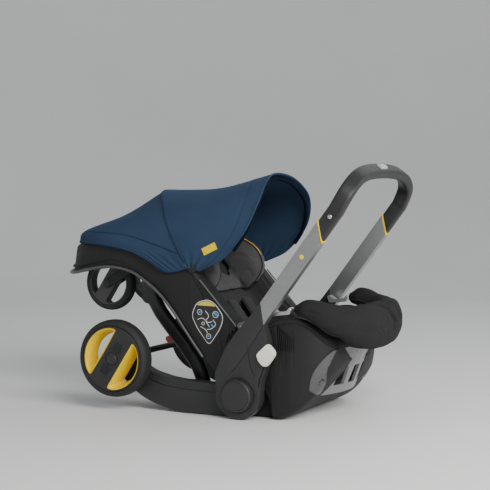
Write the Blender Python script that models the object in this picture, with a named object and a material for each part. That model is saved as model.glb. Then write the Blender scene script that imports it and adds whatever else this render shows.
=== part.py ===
"""Infant car seat with a folding wheeled frame: bucket shell, soft lining, canopy, telescopic
handle, folding leg frame with rear wheels and front casters.

Metres, +Z up.  +X runs to the foot end, -X to the head end, and +Y is the child's left side.
The handle and the rear legs turn on one hub axis that crosses the seat at HUB.
"""
import math

import bmesh
import bpy
from mathutils import Matrix, Vector

GAP = 0.0004
SIDES = (("right", -1.0), ("left", 1.0))

HUB = Vector((0.0, 0.0, 0.050))
SHELL_HALF = 0.1630
VENT_FLOOR = 0.1595
LEG_INNER = 0.1390
LEG_OUTER = 0.1655
LEG_DISC_RADIUS = 0.0455
LEG_DISC_ROOM = 0.0485
ARM_DISC_RADIUS = 0.0495
ARM_INNER = 0.1695
ARM_OUTER = 0.1915
CAP_OUTER = 0.2050

HANDLE_ANGLE = math.radians(53.3)
HANDLE_OFFSET = 0.058
BAR_WIDTH = 0.0325
BAR_WALL = 0.0018
DOT_ALONG = 0.314
PIN_ALONG = 0.415

CANOPY_PIVOT = Vector((-0.118, 0.0, 0.305))
CANOPY_MIDDLE = Vector((-0.16, 0.0, 0.30))
CANOPY_SKIN = 0.0040

REAR_WHEEL = Vector((-0.2830, 0.0, 0.1110))
REAR_RIM_RADIUS = 0.0698
REAR_BAND_ANGLE = math.radians(57.0)
REAR_OPENING = (0.0660, 0.0230)
REAR_FACE = 0.2200
AXLE_RADIUS = 0.0070
AXLE_HOLE = 0.0074
ROD_RADIUS = 0.0060
ROD_HOLE = 0.0064
FRONT_PIVOT = Vector((-0.1250, 0.0, 0.0400))
FRONT_WHEEL = Vector((-0.3570, 0.0, 0.2600))
FRONT_RADIUS = 0.0600
FRONT_MID = 0.0940
FRONT_THICK = 0.0240
FRONT_OPENING = (0.0440, 0.0150)
CASTER_OFFSET = 0.0280
CASTER_REACH = 0.0750
STEM_RADIUS = 0.0050
STEM_HOLE = 0.0054
PIN_RADIUS = 0.0049
DOT_RADIUS = 0.0046
STRAP_HALF = 0.0110
STRAP_THICK = 0.0014

LOOKS = {
    "shell": ((0.055, 0.057, 0.062), 0.55, 0.0),
    "trim": ((0.030, 0.031, 0.034), 0.45, 0.0),
    "grey": ((0.330, 0.335, 0.345), 0.45, 0.0),
    "silver": ((0.560, 0.560, 0.570), 0.35, 1.0),
    "fabric_dark": ((0.030, 0.031, 0.034), 0.95, 0.0),
    "fabric_blue": ((0.070, 0.115, 0.190), 0.95, 0.0),
    "webbing": ((0.020, 0.020, 0.022), 0.80, 0.0),
    "yellow": ((0.900, 0.720, 0.020), 0.35, 0.0),
    "cream": ((0.740, 0.710, 0.620), 0.45, 0.0),
    "red": ((0.550, 0.030, 0.025), 0.40, 0.0),
    "tyre": ((0.020, 0.020, 0.021), 0.85, 0.0),
    "steel": ((0.420, 0.420, 0.430), 0.30, 1.0),
    "label": ((0.600, 0.620, 0.640), 0.50, 0.0),
}

PIVOTS = {}


# ---------------------------------------------------------------- helpers

def clear_scene():
    for obj in list(bpy.data.objects):
        bpy.data.objects.remove(obj, do_unlink=True)


def add_pivot(name, position, parent=None):
    """An empty on a joint's axis that carries one moving group."""
    empty = bpy.data.objects.new(name + "_axis", None)
    bpy.context.scene.collection.objects.link(empty)
    origin = Vector(position)
    if parent:
        empty.parent = PIVOTS[parent][0]
        empty.location = origin - PIVOTS[parent][1]
    else:
        empty.location = origin
    PIVOTS[name] = (empty, origin)


def add_object(name, bm, look, pivot):
    """Turn a bmesh in world metres into a named object carried by a pivot."""
    bmesh.ops.remove_doubles(bm, verts=bm.verts, dist=1e-6)
    bmesh.ops.recalc_face_normals(bm, faces=bm.faces)
    mesh = bpy.data.meshes.new(name)
    bm.to_mesh(mesh)
    bm.free()
    empty, origin = PIVOTS[pivot]
    mesh.transform(Matrix.Translation(-origin))
    mesh.polygons.foreach_set("use_smooth", [True] * len(mesh.polygons))
    mesh.set_sharp_from_angle(angle=math.radians(35.0))
    obj = bpy.data.objects.new(name, mesh)
    bpy.context.scene.collection.objects.link(obj)
    obj.parent = empty
    colour, roughness, metallic = LOOKS[look]
    mat = bpy.data.materials.new(name)
    mat.use_nodes = True
    shader = mat.node_tree.nodes["Principled BSDF"]
    shader.inputs["Base Color"].default_value = (*colour, 1.0)
    shader.inputs["Roughness"].default_value = roughness
    shader.inputs["Metallic"].default_value = metallic
    mesh.materials.append(mat)
    return obj


def loft(rings, closed_path=False):
    """Skin equal-length closed rings; end rings are filled unless the path itself closes."""
    bm = bmesh.new()
    grid = [[bm.verts.new(p) for p in ring] for ring in rings]
    count = len(grid[0])
    pairs = list(zip(grid[:-1], grid[1:]))
    if closed_path:
        pairs.append((grid[-1], grid[0]))
    for low, high in pairs:
        for i in range(count):
            j = (i + 1) % count
            bm.faces.new((low[i], low[j], high[j], high[i]))
    if not closed_path:
        bm.faces.new(grid[0])
        bm.faces.new(grid[-1])
    return bm


def rounded(points, radius, steps=3):
    """Replace every corner of a closed 2-D outline by a short curve."""
    result = []
    count = len(points)
    for i in range(count):
        corner = Vector(points[i])
        before = Vector(points[i - 1]) - corner
        after = Vector(points[(i + 1) % count]) - corner
        start = corner + before.normalized() * min(radius, before.length * 0.48)
        end = corner + after.normalized() * min(radius, after.length * 0.48)
        for k in range(steps + 1):
            t = k / steps
            result.append(start * (1 - t) ** 2 + corner * (2 * t * (1 - t)) + end * t * t)
    return result


def prism(outline, y_low, y_high, bevel=0.0, segments=2):
    """Extrude an XZ outline between two Y planes and round its rim edges."""
    bm = bmesh.new()
    near = [bm.verts.new((p[0], y_low, p[1])) for p in outline]
    far = [bm.verts.new((p[0], y_high, p[1])) for p in outline]
    caps = [bm.faces.new(near), bm.faces.new(list(reversed(far)))]
    count = len(near)
    for i in range(count):
        j = (i + 1) % count
        bm.faces.new((near[i], far[i], far[j], near[j]))
    if bevel > 0.0:
        edges = list({edge for cap in caps for edge in cap.edges})
        bmesh.ops.bevel(bm, geom=edges, offset=bevel, segments=segments, profile=0.5,
                        affect="EDGES", clamp_overlap=True)
    return bm


def side_prism(outline, side, inner, outer, bevel=0.0, segments=2):
    """A prism on one side of the seat, between two distances from the middle plane."""
    low, high = sorted((side * inner, side * outer))
    return prism(outline, low, high, bevel, segments)


def circle(centre_x, centre_z, radius, count=32):
    return [(centre_x + radius * math.cos(math.tau * i / count),
             centre_z + radius * math.sin(math.tau * i / count)) for i in range(count)]


def lathe(profile, centre, count=32):
    """Turn a closed (radius, y) profile about a Y axis through centre."""
    rings = []
    for i in range(count):
        angle = math.tau * i / count
        rings.append([(centre[0] + r * math.cos(angle), y, centre[2] + r * math.sin(angle))
                      for r, y in profile])
    return loft(rings, closed_path=True)


def smooth_path(points, per_span):
    """Catmull-Rom curve through 3-D points."""
    pts = [Vector(p) for p in points]
    pts = [pts[0] * 2 - pts[1]] + pts + [pts[-1] * 2 - pts[-2]]
    out = []
    for i in range(1, len(pts) - 2):
        a, b, c, d = pts[i - 1:i + 3]
        for k in range(per_span):
            t = k / per_span
            out.append(0.5 * (2 * b + (c - a) * t + (2 * a - 5 * b + 4 * c - d) * t * t
                              + (3 * b - a - 3 * c + d) * t ** 3))
    out.append(pts[-2])
    return out


def sweep(path, sections, up):
    """Sweep 2-D sections along a path; up fixes the section's second axis."""
    rings = []
    last = len(path) - 1
    for i, point in enumerate(path):
        tangent = (path[min(i + 1, last)] - path[max(i - 1, 0)]).normalized()
        side = tangent.cross(Vector(up)).normalized()
        lift = side.cross(tangent)
        rings.append([point + side * a + lift * b for a, b in sections[i]])
    return loft(rings)


def ellipse(half_a, half_b, count=12):
    return [(half_a * math.cos(math.tau * i / count), half_b * math.sin(math.tau * i / count))
            for i in range(count)]


def combine(target, tool, operation):
    """Exact Boolean of an object with a closed bmesh."""
    mesh = bpy.data.meshes.new("tool")
    bmesh.ops.recalc_face_normals(tool, faces=tool.faces)
    tool.to_mesh(mesh)
    tool.free()
    cutter = bpy.data.objects.new("tool", mesh)
    bpy.context.scene.collection.objects.link(cutter)
    modifier = target.modifiers.new("cut", "BOOLEAN")
    modifier.operation = operation
    modifier.solver = "EXACT"
    modifier.object = cutter
    bpy.context.view_layer.update()
    graph = bpy.context.evaluated_depsgraph_get()
    result = bpy.data.meshes.new_from_object(target.evaluated_get(graph))
    target.modifiers.remove(modifier)
    old = target.data
    target.data = result
    bpy.data.meshes.remove(old)
    bpy.data.objects.remove(cutter, do_unlink=True)
    tidy = bmesh.new()
    tidy.from_mesh(result)
    bmesh.ops.remove_doubles(tidy, verts=tidy.verts, dist=2e-5)
    bmesh.ops.dissolve_degenerate(tidy, edges=tidy.edges, dist=1e-5)
    tidy.to_mesh(result)
    tidy.free()
    while len(result.materials) > 1:
        result.materials.pop(index=1)
    result.polygons.foreach_set("material_index", [0] * len(result.polygons))
    result.name = target.name


def subtract(target, *tools):
    for tool in tools:
        combine(target, tool, "DIFFERENCE")


def unite(target, *tools):
    for tool in tools:
        combine(target, tool, "UNION")


def along(distance, lateral=0.0):
    """A side-view point on the handle bar: distance from the hub's foot point, offset lateral."""
    ux, uz = math.cos(HANDLE_ANGLE), math.sin(HANDLE_ANGLE)
    off = HANDLE_OFFSET + lateral
    return HUB.x + distance * ux - off * uz, HUB.z + distance * uz + off * ux


# ---------------------------------------------------------------- seat shell

SHELL_STATIONS = (
    # x, half width low, half width high, low z, high z
    (-0.463, 0.060, 0.050, 0.284, 0.322),
    (-0.455, 0.090, 0.076, 0.281, 0.338),
    (-0.438, 0.116, 0.100, 0.280, 0.343),
    (-0.410, 0.138, 0.122, 0.284, 0.349),
    (-0.370, 0.153, 0.142, 0.294, 0.355),
    (-0.320, 0.160, 0.154, 0.301, 0.361),
    (-0.270, 0.161, 0.158, 0.293, 0.364),
    (-0.235, 0.161, 0.159, 0.276, 0.362),
    (-0.200, 0.161, 0.160, 0.250, 0.354),
    (-0.165, 0.163, 0.163, 0.214, 0.336),
    (-0.130, 0.163, 0.163, 0.167, 0.314),
    (-0.104, 0.163, 0.163, 0.131, 0.285),
    (-0.080, 0.163, 0.163, 0.103, 0.258),
    (-0.062, 0.163, 0.163, 0.081, 0.238),
    (-0.052, 0.163, 0.163, 0.030, 0.228),
    (-0.044, 0.163, 0.163, 0.000, 0.220),
    (-0.015, 0.163, 0.163, 0.000, 0.194),
    (0.010, 0.163, 0.163, 0.000, 0.186),
    (0.045, 0.163, 0.163, 0.000, 0.192),
    (0.075, 0.163, 0.163, 0.000, 0.204),
    (0.105, 0.163, 0.160, 0.012, 0.208),
    (0.130, 0.157, 0.156, 0.032, 0.204),
    (0.150, 0.148, 0.149, 0.055, 0.192),
    (0.168, 0.134, 0.136, 0.080, 0.176),
    (0.182, 0.110, 0.114, 0.102, 0.166),
    (0.190, 0.080, 0.084, 0.118, 0.160),
)
BUCKET_STATIONS = (
    (-0.330, 0.096, 0.104, 0.357),
    (-0.300, 0.112, 0.126, 0.350),
    (-0.260, 0.118, 0.136, 0.340),
    (-0.225, 0.120, 0.142, 0.314),
    (-0.190, 0.121, 0.144, 0.278),
    (-0.150, 0.122, 0.144, 0.230),
    (-0.110, 0.122, 0.144, 0.180),
    (-0.075, 0.122, 0.144, 0.134),
    (-0.040, 0.122, 0.144, 0.080),
    (-0.010, 0.122, 0.144, 0.052),
    (0.040, 0.122, 0.144, 0.044),
    (0.085, 0.120, 0.143, 0.058),
    (0.125, 0.116, 0.138, 0.088),
    (0.150, 0.108, 0.130, 0.118),
    (0.166, 0.096, 0.116, 0.146),
)
HOLLOW_STATIONS = (
    (-0.447, 0.070, 0.306),
    (-0.430, 0.095, 0.322),
    (-0.405, 0.122, 0.334),
    (-0.370, 0.138, 0.342),
    (-0.310, 0.146, 0.342),
    (-0.268, 0.147, 0.330),
    (-0.235, 0.147, 0.308),
    (-0.200, 0.146, 0.278),
    (-0.165, 0.144, 0.238),
    (-0.130, 0.143, 0.194),
    (-0.100, 0.142, 0.152),
    (-0.080, 0.141, 0.124),
)
BUCKET_TOP = 0.55


def box_ring(x, half_low, half_high, z_low, z_high, radius_low, radius_high, steps=3):
    """A trapezoid ring in a YZ plane with separate corner radii below and above."""
    corners = [(-half_low, z_low), (half_low, z_low), (half_high, z_high), (-half_high, z_high)]
    radii = (radius_low, radius_low, radius_high, radius_high)
    ring = []
    for i, corner in enumerate(corners):
        here = Vector(corner)
        before = Vector(corners[i - 1]) - here
        after = Vector(corners[(i + 1) % 4]) - here
        start = here + before.normalized() * min(radii[i], before.length * 0.48)
        end = here + after.normalized() * min(radii[i], after.length * 0.48)
        for k in range(steps + 1):
            t = k / steps
            p = start * (1 - t) ** 2 + here * (2 * t * (1 - t)) + end * t * t
            ring.append((x, p.x, p.y))
    return ring


def bucket(inset, top):
    """The seat's inner space as a closed body, shrunk on every side by inset."""
    rings = []
    first, last = BUCKET_STATIONS[0][0], BUCKET_STATIONS[-1][0]
    for x, low, high, floor in BUCKET_STATIONS:
        ratio = (x - first) / (last - first)
        lean = (high - low) / (BUCKET_TOP - floor)
        base = floor + inset * 1.15
        half_low = low - inset + lean * (base - floor)
        half_high = half_low + lean * (top - base)
        rings.append(box_ring(x + inset * (1 - 2 * ratio), half_low, half_high, base, top,
                              0.040, 0.001))
    return loft(rings)


def guard_grid(front, back, grow=0.0):
    """The bowed foot plate between two offsets from its middle surface."""
    rings = []
    for i in range(9):
        a = -1.0 + 0.25 * i
        bow = 0.024 * (1 - a * a)
        ring = []
        for b, offset in ((-grow, back), (1.0 + grow, back), (1.0 + grow, front),
                          (-grow, front)):
            x = 0.1350 + 0.0400 * b + bow + offset * 0.93
            z = 0.0480 + 0.1000 * b - offset * 0.36
            ring.append((x, a * (0.1000 + 0.02 * grow), z))
        rings.append(ring)
    return loft(rings)


def hub_arc(radius, first, last, step):
    """Points on a circle round the hub, by whole degrees."""
    return [(HUB.x + radius * math.cos(math.radians(angle)),
             HUB.z + radius * math.sin(math.radians(angle))) for angle in range(first, last, step)]


def hub_recess(side):
    """Room in the shell's side for the rear leg's disc and the leg's whole swing."""
    arc = hub_arc(LEG_DISC_ROOM, 12, 141, 8)
    outline = ([(-0.095, -0.020), (0.064, -0.020), (0.064, 0.0300), (0.0575, 0.0430)] + arc
               + [(-0.060, 0.0800), (-0.095, 0.0800)])
    return side_prism(outline, side, LEG_INNER - GAP, 0.20)


def foot_vent(k):
    """One slot of the vent in the shell's side near the foot end."""
    x, top = 0.0774 + 0.0075 * k, 0.1870 - 0.0056 * k
    return [(x, top), (x + 0.004, top), (x + 0.007, 0.145), (x + 0.003, 0.145)]


def head_vent(k):
    """One slot of the slanted vent in the shell's side in front of the arm."""
    x, z = -0.040 + 0.012 * k, 0.155 + 0.010 * k
    return [(x, z), (x + 0.004, z - 0.003), (x + 0.012, z + 0.017), (x + 0.008, z + 0.020)]


def build_shell():
    rings = [box_ring(x, low, high, z0, z1, 0.006 if x < -0.06 else 0.020, 0.010)
             for x, low, high, z0, z1 in SHELL_STATIONS]
    shell = add_object("seat_shell", loft(rings), "shell", "seat")
    hollow = [box_ring(x, half * 0.97, half * 0.90, -0.05, z, 0.001, 0.020)
              for x, half, z in HOLLOW_STATIONS]
    subtract(shell, bucket(0.0, BUCKET_TOP), loft(hollow))
    for _, side in SIDES:
        subtract(shell, hub_recess(side))
    subtract(shell, guard_grid(0.120, -GAP, 0.04))
    slots = [foot_vent(k) for k in range(4)] + [head_vent(k) for k in range(3)]
    for _, side in SIDES:
        for slot in slots:
            subtract(shell, side_prism(slot, side, VENT_FLOOR, 0.18))


def build_guard():
    guard = add_object("foot_guard", guard_grid(0.0060, 0.0), "grey", "seat")
    for y in (-0.052, 0.0, 0.052):
        rings = []
        for x in (0.10, 0.25):
            rings.append([(x, y + dy, z) for dy, z in
                          ((-0.018, 0.064), (0.018, 0.064), (0.014, 0.102), (-0.014, 0.102))])
        subtract(guard, loft(rings))


def build_lip():
    """The raised edge that runs round the head end's lower rim."""
    half = [(-0.0930, 0.1664, 0.1200), (-0.130, 0.1664, 0.1680), (-0.165, 0.1664, 0.2150),
            (-0.200, 0.1655, 0.2510), (-0.235, 0.1650, 0.2765), (-0.270, 0.1650, 0.2940),
            (-0.320, 0.1642, 0.3010), (-0.370, 0.1580, 0.2945), (-0.412, 0.1430, 0.2850),
            (-0.442, 0.1200, 0.2810), (-0.460, 0.0930, 0.2815), (-0.4680, 0.0600, 0.2840)]
    path = [(x, -y, z) for x, y, z in half] + [(-0.4690, 0.0, 0.2850)]
    path += [(x, y, z) for x, y, z in reversed(half)]
    line = smooth_path(path, 2)
    add_object("shell_lip", sweep(line, [ellipse(0.0027, 0.0042, 6)] * len(line), (0, 0, 1)),
               "shell", "seat")


def build_side_trims():
    for name, side in SIDES:
        strip = [(-0.1035, 0.2785), (-0.1000, 0.2815), (-0.0155, 0.1885), (-0.0190, 0.1855)]
        add_object("rim_strip_" + name,
                   side_prism(rounded(strip, 0.0015, 2), side, SHELL_HALF + GAP, 0.1668),
                   "silver", "seat")
        shield = [(-0.0800, 0.2415), (-0.0620, 0.2300), (-0.0450, 0.2060), (-0.0520, 0.1820),
                  (-0.0790, 0.1440), (-0.1080, 0.1800), (-0.1210, 0.2060), (-0.1090, 0.2340)]
        add_object("label_" + name,
                   side_prism(rounded(shield, 0.010, 2), side, SHELL_HALF + GAP, 0.1642),
                   "label", "seat")


# ---------------------------------------------------------------- soft parts

def build_liner():
    liner = add_object("seat_liner", bucket(0.0012, BUCKET_TOP - 0.05), "fabric_dark", "seat")
    inner = bucket(0.0110, BUCKET_TOP + 0.05)
    subtract(liner, inner)
    edge = [(-0.360, 0.3520), (-0.240, 0.3560), (-0.165, 0.3280), (-0.104, 0.2790),
            (-0.052, 0.2220), (-0.015, 0.1890), (0.010, 0.1810), (0.045, 0.1870),
            (0.075, 0.1990), (0.105, 0.2030), (0.150, 0.1890), (0.185, 0.1640),
            (0.230, 0.1500), (0.230, 0.700), (-0.360, 0.700)]
    subtract(liner, prism(edge, -0.25, 0.25))


def build_pillow():
    """Head pillow: a U whose two wings stand up along the side walls."""
    wing = [(-0.232, 0.3020), (-0.200, 0.3420), (-0.150, 0.3580), (-0.108, 0.3450),
            (-0.080, 0.3120), (-0.082, 0.2760), (-0.110, 0.2420), (-0.136, 0.2360)]
    pillow = add_object("head_pillow", prism(rounded(wing, 0.020, 2), -0.122, 0.122, 0.006, 2),
                        "fabric_dark", "seat")
    cut = [(-0.220, 0.3280), (-0.116, 0.2240), (-0.040, 0.260), (-0.040, 0.420),
           (-0.260, 0.420)]
    subtract(pillow, prism(rounded(cut, 0.012, 3), -0.098, 0.098))
    combine(pillow, bucket(0.0120, BUCKET_TOP), "INTERSECT")


def build_pad():
    """Lower insert: a thick pad along the backrest and the seat."""
    spine = [(-0.122, 0.2140), (-0.085, 0.1640), (-0.050, 0.1170), (-0.020, 0.0880),
             (0.020, 0.0760), (0.060, 0.0780), (0.090, 0.0900)]
    path = smooth_path([(x, 0.0, z) for x, z in spine], 2)
    last = len(path) - 1
    sections = []
    for i in range(last + 1):
        puff = math.sin(math.pi * (0.12 + 0.76 * i / last))
        sections.append(rounded([(-0.088, -0.006), (0.088, -0.006), (0.088, 0.006 + 0.005 * puff),
                                 (-0.088, 0.006 + 0.005 * puff)], 0.008, 2))
    pad = add_object("seat_pad", sweep(path, sections, (0, 0, 1)), "fabric_dark", "seat")
    combine(pad, bucket(0.0120, BUCKET_TOP), "INTERSECT")


def build_bumper():
    """Padded roll folded over the foot end."""
    half = [(0.106, -0.1440, 0.2280, 0.018), (0.140, -0.1440, 0.2230, 0.0235),
            (0.176, -0.1340, 0.2080, 0.030), (0.208, -0.1080, 0.1960, 0.038),
            (0.225, -0.0700, 0.1900, 0.044), (0.230, 0.0, 0.1880, 0.046)]
    full = half + [(x, -y, z, r) for x, y, z, r in reversed(half[:-1])]
    path = smooth_path([(x, y, z) for x, y, z, _ in full], 2)
    radii = smooth_path([(r, 0.0, 0.0) for _, _, _, r in full], 2)
    sections = [ellipse(min(r.x, 0.031) * 0.92, r.x * 1.12, 12) for r in radii]
    sections[0] = ellipse(0.006, 0.006, 12)
    sections[-1] = ellipse(0.006, 0.006, 12)
    bumper = add_object("foot_bumper", sweep(path, sections, (0, 0, 1)), "fabric_dark", "seat")
    keep_off = [(0.090, 0.110), (0.2040, 0.110), (0.2075, 0.145), (0.2050, 0.162),
                (0.192, 0.176), (0.168, 0.192),
                (0.150, 0.203), (0.130, 0.212), (0.105, 0.2135), (0.090, 0.2120)]
    subtract(bumper, prism(keep_off, -0.20, 0.20))


def build_straps():
    """Two shoulder straps with their pads, and the crotch strap."""
    for name, side in SIDES:
        spine = [(-0.1000, 0.2200), (-0.0790, 0.1900), (-0.0480, 0.1490), (-0.0150, 0.1180),
                 (0.0080, 0.1060)]
        offsets = (0.036, 0.036, 0.032, 0.022, 0.014)
        path = smooth_path([(x, side * y, z) for (x, z), y in zip(spine, offsets)], 3)
        thick = STRAP_THICK / 2
        flat = [(-STRAP_HALF, -thick), (STRAP_HALF, -thick), (STRAP_HALF, thick),
                (-STRAP_HALF, thick)]
        add_object("harness_" + name, sweep(path, [flat] * len(path), (0, 0, 1)), "webbing",
                   "seat")
        pad = [(-0.0930, 0.2235), (-0.0740, 0.1970), (-0.0480, 0.1640)]
        path = smooth_path([(x, side * 0.0350, z + 0.0035) for x, z in pad], 3)
        soft = rounded([(-0.0190, -0.0040), (0.0190, -0.0040), (0.0190, 0.0050),
                        (-0.0190, 0.0050)], 0.004, 2)
        add_object("shoulder_pad_" + name, sweep(path, [soft] * len(path), (0, 0, 1)),
                   "fabric_dark", "seat")
    path = smooth_path([(0.0250, 0.0, 0.0885), (0.0290, 0.0, 0.0940), (0.0310, 0.0, 0.1020)], 3)
    flat = [(-0.0140, -0.0010), (0.0140, -0.0010), (0.0140, 0.0010), (-0.0140, 0.0010)]
    add_object("crotch_strap", sweep(path, [flat] * len(path), (1, 0, 0)), "webbing", "seat")


def build_buckle():
    body = rounded([(0.0110, 0.1030), (0.0440, 0.1030), (0.0440, 0.1190), (0.0110, 0.1190)],
                   0.004, 3)
    buckle = add_object("buckle", prism(body, -0.0230, 0.0230, 0.003, 2), "trim", "seat")
    well = rounded([(0.0200, 0.1130), (0.0360, 0.1130), (0.0360, 0.1300), (0.0200, 0.1300)],
                   0.001, 1)
    subtract(buckle, prism(well, -0.0120, 0.0120))
    button = rounded([(0.0204, 0.1155), (0.0356, 0.1155), (0.0356, 0.1205), (0.0204, 0.1205)],
                     0.0012, 2)
    add_object("buckle_button", prism(button, -0.0116, 0.0116, 0.0008, 1), "red", "button")


# ---------------------------------------------------------------- canopy

FRONT_BOW = ((-0.104, 0.972, 0.299), (-0.048, 0.972, 0.327), (0.000, 0.945, 0.385),
             (0.018, 0.780, 0.446), (0.010, 0.430, 0.488), (0.000, 0.000, 0.501))
FRONT_SAG = ((-0.113, 0.988, 0.302), (-0.100, 0.990, 0.338), (-0.090, 0.945, 0.392),
             (-0.096, 0.770, 0.438), (-0.118, 0.430, 0.462), (-0.130, 0.000, 0.468))
REAR_BOW = ((-0.128, 1.000, 0.304), (-0.150, 0.992, 0.338), (-0.180, 0.935, 0.388),
            (-0.208, 0.755, 0.430), (-0.243, 0.425, 0.456), (-0.260, 0.000, 0.463))
REAR_SAG = ((-0.150, 1.000, 0.297), (-0.205, 0.995, 0.335), (-0.262, 0.950, 0.372),
            (-0.305, 0.775, 0.398), (-0.335, 0.430, 0.409), (-0.345, 0.000, 0.412))
REAR_TUCK = ((-0.172, 1.000, 0.294), (-0.245, 0.998, 0.338), (-0.325, 0.965, 0.362),
             (-0.392, 0.800, 0.371), (-0.430, 0.450, 0.374), (-0.442, 0.000, 0.375))
REAR_HEM = ((-0.187, 1.000, 0.296), (-0.255, 0.998, 0.332), (-0.333, 0.965, 0.346),
            (-0.403, 0.800, 0.348), (-0.448, 0.450, 0.348), (-0.462, 0.000, 0.348))
CANOPY_HALF = 0.1685


def bow_curve(half):
    """A whole arch, right edge to left edge, through a half arch's points."""
    right = [(x, -y * CANOPY_HALF, z) for x, y, z in half]
    left = [(x, y * CANOPY_HALF, z) for x, y, z in reversed(half[:-1])]
    return smooth_path(right + left, 3)


def canopy_grid(bows, per_span):
    curves = [bow_curve(b) for b in bows]
    columns = [smooth_path([curve[i] for curve in curves], per_span)
               for i in range(len(curves[0]))]
    return [[column[j] for column in columns] for j in range(len(columns[0]))]


def canopy_sheet(name, grid, look, pivot):
    """Give a grid of points a skin's thickness towards the inside."""
    rows, cols = len(grid), len(grid[0])
    inner = []
    for j in range(rows):
        row = []
        for i in range(cols):
            du = grid[j][min(i + 1, cols - 1)] - grid[j][max(i - 1, 0)]
            dv = grid[min(j + 1, rows - 1)][i] - grid[max(j - 1, 0)][i]
            normal = du.cross(dv).normalized()
            if normal.dot(grid[j][i] - CANOPY_MIDDLE) < 0:
                normal = -normal
            row.append(grid[j][i] - normal * CANOPY_SKIN)
        inner.append(row)
    bm = bmesh.new()
    out = [[bm.verts.new(p) for p in row] for row in grid]
    ins = [[bm.verts.new(p) for p in row] for row in inner]
    for j in range(rows - 1):
        for i in range(cols - 1):
            bm.faces.new((out[j][i], out[j][i + 1], out[j + 1][i + 1], out[j + 1][i]))
            bm.faces.new((ins[j][i], ins[j + 1][i], ins[j + 1][i + 1], ins[j][i + 1]))
    for j in range(rows - 1):
        for i in (0, cols - 1):
            bm.faces.new((out[j][i], out[j + 1][i], ins[j + 1][i], ins[j][i]))
    for i in range(cols - 1):
        for j in (0, rows - 1):
            bm.faces.new((out[j][i], out[j][i + 1], ins[j][i + 1], ins[j][i]))
    return add_object(name, bm, look, pivot)


def build_canopy():
    rear = canopy_grid((REAR_BOW, REAR_SAG, REAR_TUCK, REAR_HEM), 2)
    canopy_sheet("canopy_rear", rear, "fabric_blue", "seat")
    front = canopy_grid((FRONT_BOW, FRONT_SAG, REAR_BOW), 3)
    last = front[-1]
    before = front[-2]
    front[-1] = [p + (q - p).normalized() * 0.0060 for p, q in zip(last, before)]
    canopy_sheet("canopy_front", front, "fabric_blue", "canopy")
    path = []
    for p in bow_curve(FRONT_BOW):
        reach = p - Vector((CANOPY_PIVOT.x, p.y, CANOPY_PIVOT.z))
        drop = 0.0125 * min(1.0, reach.length / 0.08)
        path.append(Vector((p.x - 0.0065, p.y * 0.940, p.z - drop)))
    path = path[2:-2]
    add_object("canopy_bow", sweep(path, [ellipse(0.0018, 0.0045, 8)] * len(path), (1, 0, 0.001)),
               "trim", "canopy")


# ---------------------------------------------------------------- handle

GRIP_TOP = Vector((0.2320, 0.0, 0.5060))
TAB_OUTLINE = ((0.0695, 0.1610), (0.0865, 0.1430), (0.0830, 0.1340), (0.0665, 0.1120),
               (0.0560, 0.1160), (0.0440, 0.1300), (0.0460, 0.1390))


def quad(a, b, c, d):
    return [along(*p) for p in (a, b, c, d)]


def scaled_outline(outline, grow):
    """Push a convex outline outwards from its middle."""
    middle = sum((Vector(p) for p in outline), Vector((0.0, 0.0))) / len(outline)
    return [Vector(p) + (Vector(p) - middle).normalized() * grow for p in outline]


def build_arms():
    """Side arms round the hub, each with its round cap and its push tab."""
    half = BAR_WIDTH / 2
    outline = hub_arc(ARM_DISC_RADIUS, 165, 361, 15)
    outline += [(0.0520, 0.0780), (0.0640, 0.1120), (0.0690, 0.1400), (0.0690, 0.1620),
                along(0.1526, -half), along(0.1846, half), (0.0320, 0.2180),
                (0.0020, 0.1860), (-0.0310, 0.1410), (-0.0540, 0.0880)]
    for name, side in SIDES:
        arm = add_object("handle_arm_" + name,
                         side_prism(outline, side, ARM_INNER, ARM_OUTER, 0.0035), "shell",
                         "handle")
        tab = rounded(TAB_OUTLINE, 0.006, 2)
        subtract(arm, side_prism(scaled_outline(tab, 0.0006), side, 0.1866, 0.200))
        add_object("handle_tab_" + name, side_prism(tab, side, 0.1895, 0.1965, 0.0018, 1), "cream",
                   "handle_tab_" + name)
        cap = [(0.0, 0.1920), (0.0335, 0.1920), (0.0335, 0.2010), (0.0315, 0.2035),
               (0.0280, 0.2048), (0.0, CAP_OUTER)]
        add_object("hub_cap_" + name, side_lathe(cap, side, HUB, 36), "shell", "handle")


def build_bars():
    """Hollow handle bars with the ring at each mouth and the round mark on the face."""
    half = BAR_WIDTH / 2
    inner_half = half - BAR_WALL
    for name, side in SIDES:
        bar = add_object("handle_bar_" + name, side_prism(
            quad((0.185, half), (0.153, -half), (0.3600, -half), (0.3905, half)),
            side, 0.1700, 0.1910, 0.0022), "silver", "handle")
        bore = quad((0.205, inner_half), (0.205, -inner_half), (0.42, -inner_half),
                    (0.42, inner_half))
        subtract(bar, side_prism(bore, side, 0.1718, 0.1892))
        ring = add_object("handle_ring_" + name, side_prism(
            quad((0.3915, half + 0.0006), (0.3610, -half - 0.0006), (0.3650, -half - 0.0006),
                 (0.3955, half + 0.0006)), side, 0.1696, 0.1914, 0.0008, 1), "yellow", "handle")
        subtract(ring, side_prism(bore, side, 0.1718, 0.1892))
        x, z = along(DOT_ALONG)
        add_object("handle_dot_" + name, side_prism(circle(x, z, DOT_RADIUS, 20), side, 0.1914,
                                                    0.1926, 0.0004, 1), "yellow", "handle")


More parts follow.
